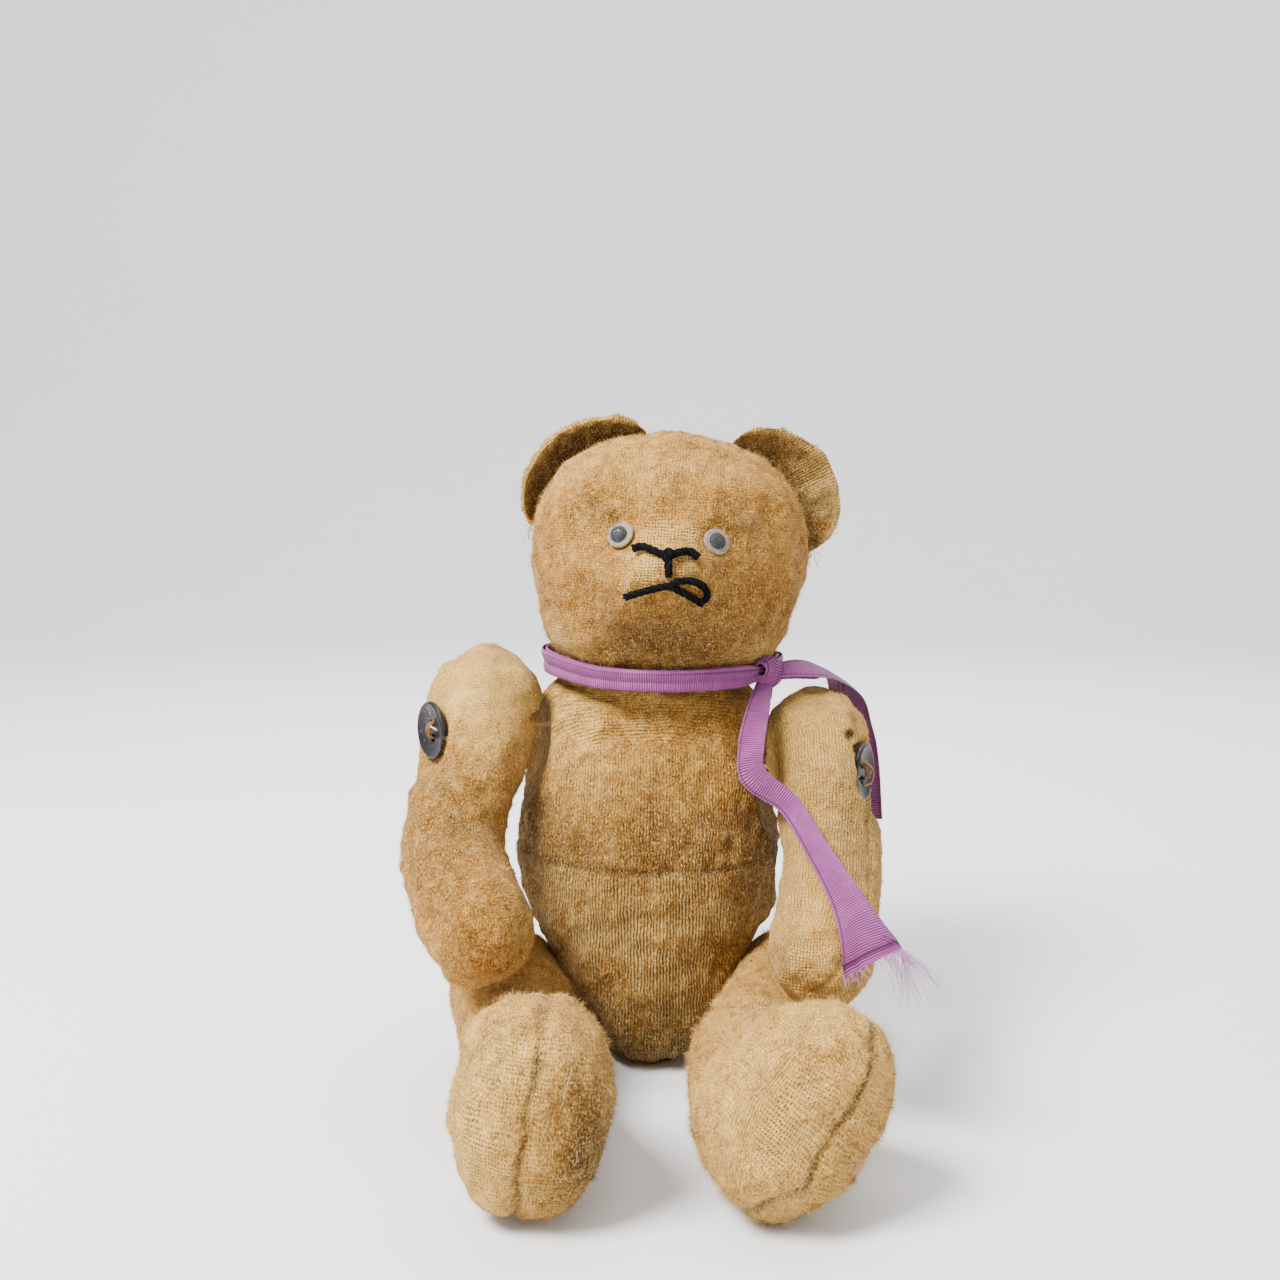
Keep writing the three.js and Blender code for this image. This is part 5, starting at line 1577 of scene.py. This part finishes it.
def stitches(name: str, line: Array, normals: Array, length: float, gap: float, radius: float) -> bpy.types.Object:
    """Makes a running stitch along a line: each stitch rises out of the cloth and dips back, as half a sine.

    Args:
        name: the object's name.
        line: places along the seam.
        normals: the cloth's outward directions there.
        length: a stitch's length.
        gap: space between stitches.
        radius: the thread's radius.

    Returns:
        The object.
    """
    distance = distances(line)
    starts = np.arange(0.3, distance[-1] - length, length + gap)
    t = np.linspace(0, 1, 6)
    where = starts[:, None] + t * length
    path = on_path(line, distance, where)
    out = unit(on_path(normals, distance, where))
    path = path + out * (0.38 * np.sin(math.pi * t) - 0.22)[None, :, None]
    return tubes(name, path, radius, 5)


def seam_line(skin: Skin, column: int, first: int, last: int) -> tuple[Array, Array]:
    """Places and outward directions along one column of a skin, between two rows."""
    return skin.points[first:last, column], skin.normals()[first:last, column]


@dataclass
class Face:
    """Glass eyes, and the nose and mouth sewn in black yarn.

    Attributes:
        nose_bar: places on the face, across and up, and so for the other routes. A third number lifts a place off it.
        proud: how far the yarn's middle stands off the face.
    """

    head: Head
    nose_bar: tuple = (
        (-10.1, 39.8), (-7.6, 40.6), (-4.2, 39.8), (-1, 38.7), (1.2, 38.8), (4, 39.8), (6.8, 40.1), (9.2, 38.6),
    )
    nose_stem: tuple = ((0.3, 38.8), (0.6, 36.6), (0.9, 34), (1, 32.4))
    mouth: tuple = (
        (-11.4, 25.4), (-8, 26.8), (-4.2, 28.2), (-1, 29.2), (1.4, 29.6), (4.4, 28.6), (8, 26.9), (11.4, 25),
    )
    loop: tuple = (
        (10.6, 25.4, 0.4), (12.6, 27, 0.9), (11.9, 29.7, 1.4), (9, 31.5, 1.5), (5.4, 31.6, 1), (2.2, 30.4, 0.2),
    )
    knot: tuple = ((-1, 37.9, 0.2), (0.5, 39.9, 0.7), (1, 38.6, 0.8), (-0.5, 39.4, 0.6), (0, 37.4, 0.2))
    proud: float = 0.7
    eye_radius: float = 4.2
    pupil_radius: float = 2.45

    def route(self, places: Sequence[Sequence[float]], steps: int) -> Array:
        """A smooth route on the face through places across, up and outwards."""
        table = [(*place, 0.0)[:3] for place in places]
        curve = smooth_path([self.head.face(x, z, self.proud + out) for x, z, out in table], steps)
        return self.head.to_bear(curve)

    def yarn(self, name: str, routes: Sequence[Array], node: str, radius: float = 0.7) -> None:
        """Makes routes of four-stranded yarn."""
        for number, route in enumerate(routes):
            strands = twisted(route, radius, 4, 7.5)
            piece = tubes(f"{name}_{number}", strands, radius * 0.8, 7)
            trim(piece, BLACK_YARN.material(), "head", node, node)
        log.info("%s: %d routes", name, len(routes))

    def lathe(self, name: str, outline: Pairs, place: Array, axis: Array, sides: int = 40) -> bpy.types.Object:
        """Turns a smoothed outline of (radius, height) about an axis at a place."""
        curve = smooth_path([(r, 0.0, h) for r, h in outline], 26)
        first = unit(np.cross(axis, [1.0, 0.0, 0.0]))
        second = np.cross(axis, first)
        angle = np.linspace(0, TAU, sides, endpoint=False)[None, :, None]
        ring = first * np.cos(angle) + second * np.sin(angle)
        radius = np.maximum(curve[:, 0], 0.002)
        points = place + axis * curve[:, None, 2:] + ring * radius[:, None, None]
        return Skin.of(self.head.to_bear(points)).mesh(name)

    def eye(self, side: Side) -> None:
        """Makes one eye: a cream back, a black pupil and a clear dome over them."""
        x = self.head.eyes[0 if side is Side.RIGHT else 1]
        normal = self.head.face_normal(x, self.head.eyes[2])
        place = self.head.face(x, self.head.eyes[2]) - normal * 0.5
        glance = place + np.array([-0.5 if side is Side.RIGHT else 0.1, 0, 0.1])
        r, p = self.eye_radius, self.pupil_radius
        outline = (
            (0, -0.5), (r * 0.7, -0.5), (r, 0), (r * 0.95, 0.8), (r * 0.75, 1.9), (r * 0.4, 2.7), (0, 2.95),
        )
        dome = self.lathe(f"eye_{side.value}_dome", outline, place, normal)
        trim(dome, EYE_GLASS.material(), "head", f"eye_{side.value}", f"eye_{side.value}")
        outline = ((0, -1.6), (r * 0.8, -1.6), (r * 0.99, -1.2), (r * 0.98, -0.7), (r * 0.6, -0.66), (0, -0.62))
        back = self.lathe(f"eye_{side.value}_back", outline, place, normal)
        trim(back, EYE_BACK.material(), "head", f"eye_{side.value}")
        outline = ((0, -0.9), (p, -0.9), (p * 1.06, -0.3), (p * 0.9, 0.5), (p * 0.45, 0.95), (0, 1.05))
        pupil = self.lathe(f"pupil_{side.value}_dome", outline, glance, normal)
        trim(pupil, PUPIL.material(), "head", f"pupil_{side.value}", f"pupil_{side.value}")

    def wisps(self) -> None:
        """Makes loose strands at the end of the mouth's loop and at the ends of the nose bar."""
        rng = np.random.default_rng(101)
        ends = (
            (12.6, 27.2, 1.2), (12.4, 28.6, 1.4), (11.4, 25, 0.6), (-10.1, 39.8, 0.4), (9.2, 38.6, 0.4),
            (-11.4, 25.4, 0.4),
        )
        starts = np.stack([self.head.face(x, z, self.proud + out) for x, z, out in ends] * 3)
        t = np.linspace(0, 1, 6)[None, :, None]
        aim = rng.normal(0, 1, (len(starts), 1, 3)) * [[[1.3, 0.5, 1.0]]] + [[[0, -0.5, 0]]]
        paths = starts[:, None] + aim * t + rng.normal(0, 0.5, (len(starts), 1, 3)) * t**2
        piece = tubes("yarn_wisps", self.head.to_bear(paths), 0.075, 4)
        trim(piece, BLACK_YARN.material(), "head", "mouth_thread")

    def build(self) -> None:
        """Makes the eyes, the nose, the mouth and the loose strands."""
        for side in Side:
            self.eye(side)
        nose = ((self.nose_bar, 90), (self.nose_stem, 30), (self.knot, 40))
        self.yarn("nose_yarn", [self.route(*line) for line in nose], "nose_thread")
        self.yarn("mouth_yarn", [self.route(self.mouth, 100), self.route(self.loop, 70)], "mouth_thread", 0.64)
        beside = self.route([(x - 0.6, z - 0.9, out + 0.3) for x, z, out in self.loop], 50)
        thin = tubes("mouth_strand", beside[None], 0.16, 5)
        trim(thin, BLACK_YARN.material(), "head", "mouth_thread")
        self.wisps()


@dataclass
class Fastening:
    """A dished metal button on an arm, tied on with brown thread."""

    shoulder: Shoulder
    hole_spacing: float = 2.4
    rounding: float = 0.0002

    def refined(self, frame: dict) -> None:
        """Copies the button's solid with its corners merged and its faces shaded smooth."""
        node = f"arm_button_{self.shoulder.side.value}"
        source = frame["nodes"][node]
        piece = bpy.data.objects.new(f"{node}_disc", source.data.copy())
        bpy.context.scene.collection.objects.link(piece)
        weld = piece.modifiers.new("weld", "WELD")
        weld.merge_threshold = 1e-5
        bevel = piece.modifiers.new("bevel", "BEVEL")
        bevel.width = self.rounding
        bevel.segments = 2
        bevel.angle_limit = math.radians(35)
        piece.data.polygons.foreach_set("use_smooth", [True] * len(piece.data.polygons))
        trim(piece, DARK_BUTTON.material(), f"arm_{self.shoulder.side.value}", node, node)

    def thread(self) -> None:
        """Makes the bundle of threads that goes through both holes, with loose ends."""
        side, at, seat = self.shoulder.side, self.shoulder.at, self.shoulder.seat
        arm = f"arm_{side.value}"
        node = f"button_thread_{side.value}"
        rows = [(-2.0, -1.0), (0.8, -1.02), (2.2, -0.75), (2.9, 0.0), (2.3, 0.72), (0.8, 1.0), (-2.0, 1.0)]
        bundle = []
        for shift in (-1.1, -0.65, -0.2, 0.25, 0.7, 1.1):
            rise = 1.1 - abs(shift) * 0.2
            places = [at(seat + 0.35 + out * rise, up * self.hole_spacing, shift) for out, up in rows]
            bundle.append(twisted(smooth_path(places, 40), 0.14, 2, 3.4))
        piece = tubes(f"{node}_bundle", np.concatenate(bundle), 0.24, 6)
        trim(piece, BROWN_THREAD.material(), arm, node, node)
        rng = np.random.default_rng(111)
        t = np.linspace(0, 1, 9)[None, :, None]
        starts = np.stack([at(seat + 1.6, 1.8, 0.3)] * 12)[:, None]
        aim = np.stack([at(seat + 1.0, 7.0, 4.0) - at(seat + 1.6, 1.8, 0.3)] * 12)[:, None]
        paths = starts + aim * t * rng.uniform(0.5, 1.3, (12, 1, 1)) + rng.normal(0, 1.6, (12, 1, 3)) * t**2
        wisps = tubes(f"{node}_wisps", paths, 0.085, 4)
        trim(wisps, TAN_THREAD.material(), arm, node)

    def build(self, frame: dict) -> None:
        """Makes the button and its thread."""
        self.refined(frame)
        self.thread()
        log.info("button on the %s arm", self.shoulder.side.value)


@dataclass
class Darning:
    """Loose threads and running stitches on the trunk, limbs and head."""

    def loops(self) -> None:
        """Makes the tan loop beside the left button and the pale thread that runs into the right one."""
        left, right = LEFT_SHOULDER, RIGHT_SHOULDER
        places = ((13.5, 4.5, 2.5), (15.0, 3.0, 0.0), (16.4, 0.2, -2.4), (16.0, -3.4, -1.8), (14.5, -4.0, 1.4))
        curl = smooth_path([left.at(*place) for place in places], 40)
        piece = tubes("tan_loop", twisted(curl, 0.22, 2, 2.4), 0.24, 5)
        trim(piece, TAN_THREAD.material(), "arm_left", "button_thread_left")
        places = ((18.6, 1.0, 6.5), (18.8, 1.6, 4.0), (18.4, 1.5, 2.0), (17.4, 1.6, 0.0))
        cross = smooth_path([right.at(*place) for place in places], 30)
        piece = tubes("pale_thread", twisted(cross, 0.16, 2, 1.8), 0.18, 5)
        trim(piece, PALE_FIBRE.material(), "arm_right", "button_thread_right")

    def hairs(self, legs: dict[Side, Skin]) -> None:
        """Makes long stray fibres that lie loosely over the soles."""
        rng = np.random.default_rng(121)
        for side, skin in legs.items():
            roots = rng.integers(0, skin.points.shape[1], 16)
            rows = rng.integers(skin.points.shape[0] - 60, skin.points.shape[0] - 6, 16)
            start = skin.points[rows, roots] + skin.normals()[rows, roots] * 0.5
            t = np.linspace(0, 1, 12)[None, :, None]
            out = skin.normals()[rows, roots][:, None]
            aim = unit(np.cross(out, rng.normal(size=(16, 1, 3))))
            reach = rng.uniform(4, 9, (16, 1, 1))
            paths = start[:, None] + aim * t * reach + out * (np.sin(math.pi * t) * 0.9 - t**2 * 0.5)
            piece = tubes(f"stray_hairs_{side.value}", paths + rng.normal(0, 0.5, (16, 1, 3)) * t**2, 0.05, 4)
            trim(piece, PALE_FIBRE.material(), f"leg_{side.value}", f"leg_{side.value}")

    def seams(self, torso: Skin, head: Skin, legs: dict[Side, Skin]) -> None:
        """Sews the back seams, the chin's seam, the brow darts and the soles' seams."""
        work = [
            ("torso_back_stitches", *seam_line(torso, 0, 8, len(torso.points) - 4), "torso", "torso", 2.6, 0.9),
            ("head_back_stitches", *seam_line(head, 0, 8, len(head.points) - 8), "head", "head", 2.6, 0.9),
            ("chin_stitches", *seam_line(head, head.points.shape[1] // 2 + 1, 10, 66), "head", "head", 1.5, 1.3),
        ]
        for side, skin in legs.items():
            quarter, last = skin.points.shape[1] // 4, skin.points.shape[0]
            body = f"leg_{side.value}"
            for name, column in (("toe", quarter), ("heel", 3 * quarter)):
                line = seam_line(skin, column, last - 70, last - 2)
                work.append((f"{body}_{name}_stitches", *line, body, body, 1.6, 1.5))
        for name, line, normals, body, node, length, gap in work:
            piece = stitches(name, line, normals, length, gap, 0.2)
            trim(piece, TAN_THREAD.material(), body, node)
        log.info("stitched seams: %d", len(work))

    def darts(self, head: Head) -> None:
        """Sews the two short darts above the eyes."""
        for side in Side:
            z = np.linspace(54, 66, 40)
            x = side.sign * (13 + 0.16 * (z - 50))
            line = head.to_bear(head.face(x, z, -0.1))
            normals = np.broadcast_to([0.0, -0.95, 0.3], line.shape)
            piece = stitches(f"brow_stitches_{side.value}", line, normals, 1.0, 1.5, 0.12)
            trim(piece, BROWN_THREAD.material(), "head", "head")

    def build(self, torso: Skin, head: Head, head_skin: Skin, legs: dict[Side, Skin]) -> None:
        """Makes every thread."""
        self.loops()
        self.hairs(legs)
        self.seams(torso, head_skin, legs)
        self.darts(head)


# ------------------------------------------------------------------------------------------------ ribbon


@dataclass
class Ribbon:
    """One ribbed ribbon tied round the neck: a pleated collar, a knot on its left, and two tails.

    Attributes:
        middle: the collar's middle, across and in depth.
        half: the collar's half sizes, across and in depth.
        collar_height: height of its middle line, by angle from the front in degrees.
        front_ways: the front tail's wide way, as (share of the length, x, y, z), and so for the back one.
        front_shown: how wide the front tail looks, by share of the length, and so for the back one.
    """

    width: float = 20.0
    thickness: float = 0.22
    middle: tuple[float, float] = (4.3, 17.0)
    half: tuple[float, float] = (38.5, 35.0)
    knot_angle: float = math.radians(56)
    collar_height: Pairs = (
        (-180, 123.5), (-110, 125.2), (-70, 124.8), (-30, 122), (0, 121.4), (30, 121.8), (56, 122.6), (110, 123.4),
        (180, 123.5),
    )
    front_tail: tuple = (
        (36.4, -5.5, 119), (33, -16, 111), (30.6, -24, 102), (30.8, -28, 94.5), (41.2, -31, 86.2), (47.5, -40, 77),
        (53, -56, 67.6), (56, -66.5, 60.5), (58.3, -79.5, 53.9),
    )
    front_ways: tuple = (
        (0, 0.95, -0.3, 0.1), (0.2, 0.95, -0.3, 0.1), (0.32, 0.75, -0.3, 0.66), (0.6, 0.8, -0.1, 0.6),
        (1, 0.854, 0, 0.52),
    )
    front_shown: Pairs = (
        (0, 5.5), (0.12, 8), (0.3, 9), (0.42, 7.4), (0.55, 7.4), (0.7, 9.2), (0.82, 12.5), (0.93, 17), (1, 18.6),
    )
    back_tail: tuple = (
        (38.5, -2.5, 122.5), (47, -3, 123.6), (57, 4, 121.5), (65, 15, 114), (68, 22, 101), (69.5, 22, 86),
        (70, 19, 70),
    )
    back_ways: tuple = (
        (0, 0, 0.6, 0.8), (0.15, -0.2, 0.8, 0.5), (0.35, -0.4, 0.9, 0.1), (0.5, -0.7, 0.7, 0), (0.7, -0.95, 0.3, 0),
        (1, -0.95, 0.3, 0),
    )
    back_shown: Pairs = ((0, 6), (0.15, 10), (0.35, 13), (0.6, 17), (0.8, 18.5), (1, 18.8))

    def collar_place(self, angle: Array) -> Array:
        """The collar's middle line: an ellipse round the neck, at a height that changes with the angle."""
        turn = np.degrees((angle + math.pi) % TAU - math.pi)
        x = self.middle[0] + self.half[0] * np.sin(angle)
        y = self.middle[1] - self.half[1] * np.cos(angle)
        return np.stack([x, y, profile(self.collar_height)(turn)], axis=-1)

    def sheet(self, name: str, points: Array, across: Array, rests_on: list[str]) -> bpy.types.Object:
        """Makes one length of ribbon.

        Args:
            name: the object's name.
            points: places, along by across by 3.
            across: each column's place across the flat ribbon.
            rests_on: what the ribbon lies on; not used.

        Returns:
            The object, thickened and on its body.
        """
        rows, columns = points.shape[:2]
        steps = np.linalg.norm(np.diff(points, axis=0), axis=-1).mean(1)
        along = np.concatenate([[0], steps.cumsum()])
        here = np.arange(rows * columns).reshape(rows, columns)
        quads = quad_corners(here).reshape(-1, 4)
        flat = np.stack(np.broadcast_arrays(across[None], along[:, None]), axis=-1) * MM
        corners = quad_corners(flat).reshape(-1, 2)
        piece = new_mesh(name, points.reshape(-1, 3), quads.tolist(), {"Cloth": corners})
        wall = piece.modifiers.new("thickness", "SOLIDIFY")
        wall.thickness = self.thickness * MM
        wall.offset = 0
        trim(piece, VIOLET_RIBBON.material(), "torso", "neck_ribbon", "neck_ribbon")
        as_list(rests_on)
        return piece

    def collar(self) -> None:
        """The collar: the ribbon gathered into three overlapping pleats, a folded wave up and down its height."""
        rows, columns = 260, 48
        angle = np.linspace(self.knot_angle + 0.06, self.knot_angle + TAU - 0.06, rows)
        centre = self.collar_place(angle)
        outward = unit(np.stack([np.sin(angle) / self.half[0], -np.cos(angle) / self.half[1], 0 * angle], axis=-1))
        s = np.linspace(0, 1, columns)[None]
        wander = 0.16 * np.sin(2.3 * angle + 1)[:, None] + 0.1 * np.sin(5.1 * angle)[:, None]
        phase = math.pi * (2.9 * s - 0.45 + wander * np.sin(math.pi * s))
        up = 2 / math.pi * np.arcsin(0.985 * np.sin(phase)) * (4.1 + 0.4 * np.sin(1.7 * angle + 0.5))[:, None]
        tight = 1 - sum(0.35 * np.exp(-(((angle - end) / 0.18) ** 2)) for end in (angle[0], angle[-1]))
        out = (s - 0.5) * 1.9 + 0.6 * np.sin(phase * 2) + 0.12 * np.sin(angle * 9)[:, None]
        points = centre[:, None] + outward[:, None] * out[..., None] + (up * tight[:, None])[..., None] * np.array(UP)
        self.sheet("ribbon_collar", points, (s[0] - 0.5) * self.width, ["torso_cloth", "head_cloth"])

    def knot(self) -> None:
        """The knot: a short band wrapped round the gathered ribbon, a barrel with creases pinched at its ends."""
        rows, columns = 90, 80
        centre = self.collar_place(np.array(self.knot_angle)) + np.array([1.2, -1.5, 0.2])
        axis = unit(np.array([math.cos(self.knot_angle), math.sin(self.knot_angle), -0.25]))
        outward = unit(np.array([math.sin(self.knot_angle), -math.cos(self.knot_angle), 0.1]))
        upward = np.cross(outward, axis)
        angle = np.linspace(0.3, TAU + 0.9, rows)[:, None]
        s = np.linspace(-1, 1, columns)[None]
        crease = 0.5 * np.sin(s * 14.5 + 1.6 * np.sin(angle)) + 0.12 * np.sin(s * 31 + angle)
        radius = 4.9 * np.sqrt(1 - (0.9 * s) ** 2) + crease * (1 - 0.5 * s**2) + 0.5 * (angle / TAU) - 0.5
        slide = s * (5.0 + 0.5 * np.sin(angle + 0.5)) + 0.6 * np.cos(angle)
        ring = outward * (np.cos(angle) * 0.78)[..., None] + upward * np.sin(angle)[..., None]
        points = centre + axis * slide[..., None] + ring[:, 0][:, None] * radius[..., None]
        self.sheet("ribbon_knot", points, s[0] * self.width / 2, ["torso_cloth"])

    def tail(
        self, name: str, route: tuple, ways: tuple, shown: Pairs, skins: Sequence[Skin], seed: int, rests_on: list[str]
    ) -> Array:
        """A tail: the ribbon folded lengthwise into layers that open out along it, held clear of what it lies on.

        A place across is a folded wave as wide as the tail looks, with as many folds as take up the ribbon's width.
        Each layer lies behind the one before it.

        Args:
            name: the object's name.
            route: places that the tail's middle passes through.
            ways: the wide way, as (share of the length, x, y, z).
            shown: how wide the tail looks, by share of the length.
            skins: what the tail lies on.
            seed: fixes the ripples.
            rests_on: the names of what it lies on.

        Returns:
            The tail's places, along by across by 3.
        """
        rows, columns = 170, 60
        path = smooth_path(route, rows)
        u = np.linspace(0, 1, rows)
        table = np.asarray(ways, float)
        wide = on_path(table[:, 1:], table[:, 0], u)
        forward = unit(np.gradient(path, axis=0))
        wide = unit(wide - forward * (wide * forward).sum(-1, keepdims=True))
        out = np.cross(forward, wide)
        wide_as = profile(shown)(u)[:, None]
        layers = self.width / wide_as
        s = np.linspace(0, 1, columns)[None]
        phase = math.pi * (layers * s - 0.5)
        across = wide_as / 2 * 2 / math.pi * np.arcsin(0.992 * np.sin(phase))
        height = 0.08 * wide_as * np.abs(np.cos(phase)) + 0.9 * (layers - 1) * (0.5 - s)
        ripple = 0.3 * np.sin(u[:, None] * 21 + s * 5 + seed) * smoothstep(u, 0.1, 0.4)[:, None]
        crease = 0.3 * np.exp(-(((s - 0.3 - 0.12 * np.sin(u[:, None] * 6)) / 0.05) ** 2))
        height = (height + ripple - crease)[..., None]
        points = path[:, None] + wide[:, None] * across[..., None] + out[:, None] * height
        if skins:
            points = points - self.lift(points, skins)[:, None, None] * np.array([0.0, 1.0, 0.0])
        self.sheet(name, points, (s[0] - 0.5) * self.width, rests_on)
        return points

    @staticmethod
    def lift(points: Array, skins: Sequence[Skin]) -> Array:
        """How far forward each section must move to clear the skins behind it, smoothed along the tail."""
        cloud = np.vstack([skin.points[::2, ::2].reshape(-1, 3) for skin in skins])
        need = np.zeros(len(points))
        for column in range(0, points.shape[1], 6):
            place = points[:, column]
            near = np.hypot(place[:, None, 0] - cloud[None, :, 0], place[:, None, 2] - cloud[None, :, 2]) < 1.8
            surface = np.where(near, cloud[None, :, 1], 999).min(1)
            need = np.maximum(need, np.where(surface < 900, place[:, 1] - surface + 0.7, 0))
        window = np.ones(9) / 9
        highest = np.max([np.roll(need, shift) for shift in range(-4, 5)], axis=0)
        highest[:6], highest[-6:] = need[:6].max(), need[-6:].max()
        padded = np.concatenate([np.full(8, highest[0]), highest, np.full(8, highest[-1])])
        return np.convolve(padded, window, "same")[8:-8]

    def fringe(self, tail: Array) -> None:
        """Frays the tail's end: short threads all along it and a long pale tuft at its upper corner."""
        rng = np.random.default_rng(131)
        edge, before = tail[-1], tail[-8]
        count, short = 150, 70
        where = np.concatenate([rng.uniform(0, 1, short), 1 - np.abs(rng.normal(0, 0.16, count - short))]).clip(0, 1)
        start = on_path(edge, np.linspace(0, 1, len(edge)), where)
        away = unit(edge.mean(0) - before.mean(0))
        side = unit(edge[-1] - edge[0])
        long = np.where(np.arange(count) < short, rng.uniform(1.0, 3.5, count), rng.uniform(5, 13, count))
        long = long[:, None, None]
        t = np.linspace(0, 1, 9)[None, :, None]
        aim = away + side * rng.normal(0.35, 0.3, (count, 1, 1)) + rng.normal(0, 0.22, (count, 1, 3))
        droop = np.array([0, 0, -1.0]) * t**2 * long * 0.25
        aim = unit(aim)
        paths = start[:, None] + aim * t * long + droop + rng.normal(0, 0.9, (count, 1, 3)) * t**2 - aim * 0.4
        piece = tubes("ribbon_fray", paths, 0.075 * (1 - 0.5 * t[..., 0]) + 0 * long[..., 0], 4)
        trim(piece, VIOLET_FRAY.material(), "torso", "neck_ribbon")

    def build(self, torso: Skin, arm: Skin) -> None:
        """Makes the whole ribbon."""
        self.collar()
        self.knot()
        on = ["torso_cloth", "arm_left_cloth"]
        skins = (torso, arm)
        end = self.tail("ribbon_tail_front", self.front_tail, self.front_ways, self.front_shown, skins, 1, on)
        self.fringe(end)
        self.tail("ribbon_tail_back", self.back_tail, self.back_ways, self.back_shown, (), 4, on)


# ---------------------------------------------------------------------------------------- hidden parts and studio


def dress_hidden(frame: dict) -> None:
    """Gives the joint discs, pins, string and eye wires their finishes."""
    board, wire, string = FIBRE_BOARD.material(), WIRE.material(), TAN_THREAD.material()
    finishes = {"disc": board, "pin": wire, "shank": wire, "string": string}
    for name, node in frame["nodes"].items():
        for word, finish in finishes.items():
            if word in name:
                dress(node, finish)
                break


@dataclass
class Studio:
    """A pale floor that curves up into a low round wall, four soft lights and the camera."""

    camera_place: Place = (-0.003, -0.406, 0.168)
    pitch: float = math.radians(85)
    lens: float = 36
    floor_radius: float = 1.5
    wall: float = 1.3
    lights: tuple = (
        ("key", (-0.55, -0.45, 0.95), (0, 0, 0.1), 0.42, 40),
        ("fill", (0.8, -0.75, 0.45), (0, 0, 0.1), 0.9, 2.5),
        ("rim", (0.4, 0.8, 1.0), (0, 0, 0.12), 0.8, 5),
        ("wash", (0, 0.35, 1.5), (0, 2.2, 0.6), 1.2, 52),
    )
    sky: Colour = (0.86, 0.87, 0.88)
    sky_strength: float = 0.95

    def floor(self) -> None:
        """Makes the floor: rings at growing radius, that climb as a quarter circle does beyond the flat part."""
        flat = np.array([0.001, 0.1, 0.4, 0.9, self.floor_radius])
        turn = np.linspace(0, math.pi / 2, 17)[1:]
        radius = np.concatenate([flat, self.floor_radius + self.wall * np.sin(turn), [self.floor_radius + self.wall]])
        height = np.concatenate([0 * flat, self.wall * (1 - np.cos(turn)), [self.wall * 1.6]])
        radius, height = radius[:, None] / MM, height[:, None] / MM
        angle = np.linspace(0, TAU, 96, endpoint=False)[None]
        ring = np.stack(np.broadcast_arrays(radius * np.cos(angle), radius * np.sin(angle), height - 0.3), axis=-1)
        index = np.arange(ring.shape[0] * 96).reshape(-1, 96)
        beside = np.roll(index, -1, axis=1)
        quads = np.stack([index[:-1], index[1:], beside[1:], beside[:-1]], axis=-1).reshape(-1, 4)
        piece = new_mesh("floor", ring.reshape(-1, 3), quads.tolist() + [index[0].tolist()])
        dress(piece, BACKDROP.material())

    @staticmethod
    def light(name: str, place: Place, aim: Place, size: float, power: float) -> None:
        """Makes a square soft light at a place, turned towards an aim."""
        lamp = bpy.data.lights.new(name, "AREA")
        lamp.size = size
        lamp.energy = power
        holder = bpy.data.objects.new(name, lamp)
        bpy.context.scene.collection.objects.link(holder)
        holder.location = place
        direction = np.array(aim) - np.array(place)
        yaw = math.atan2(direction[1], direction[0]) - math.pi / 2
        tilt = math.atan2(direction[2], math.hypot(direction[0], direction[1]))
        holder.rotation_euler = (tilt + math.pi / 2, 0, yaw)

    def build(self) -> None:
        """Makes the floor, the lights, the sky and the camera."""
        self.floor()
        for light in self.lights:
            self.light(*light)
        world = bpy.data.worlds.new("Soft room")
        world.use_nodes = True
        sky = world.node_tree.nodes["Background"].inputs
        sky["Color"].default_value = (*self.sky, 1.0)
        sky["Strength"].default_value = self.sky_strength
        bpy.context.scene.world = world
        lens = bpy.data.cameras.new("camera")
        lens.lens = self.lens
        lens.sensor_width = 36
        camera = bpy.data.objects.new("camera", lens)
        camera.location = self.camera_place
        camera.rotation_euler = (self.pitch, 0, 0)
        bpy.context.scene.collection.objects.link(camera)
        bpy.context.scene.camera = camera


def main() -> None:
    """Builds the bear in order: stage, stuffed pieces, face, fastenings, threads and ribbon."""
    logging.basicConfig(level=logging.INFO, format="%(message)s")
    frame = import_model()
    Studio().build()
    head = Head()
    torso_skin = Torso().build()
    head_skin = head.build()
    Ear(Side.RIGHT, math.radians(16), math.radians(68), 1.9, 16.5, (6, 6)).build(head)
    Ear(Side.LEFT, math.radians(27), math.radians(60), 0.9, 17, (7, 8)).build(head)
    arms = Arms().build()
    legs = Legs().build()
    Face(head).build()
    for shoulder in (RIGHT_SHOULDER, LEFT_SHOULDER):
        Fastening(shoulder).build(frame)
    Darning().build(torso_skin, head, head_skin, legs)
    Ribbon().build(torso_skin, arms[Side.LEFT])
    dress_hidden(frame)


if __name__ == "__main__":
    main()
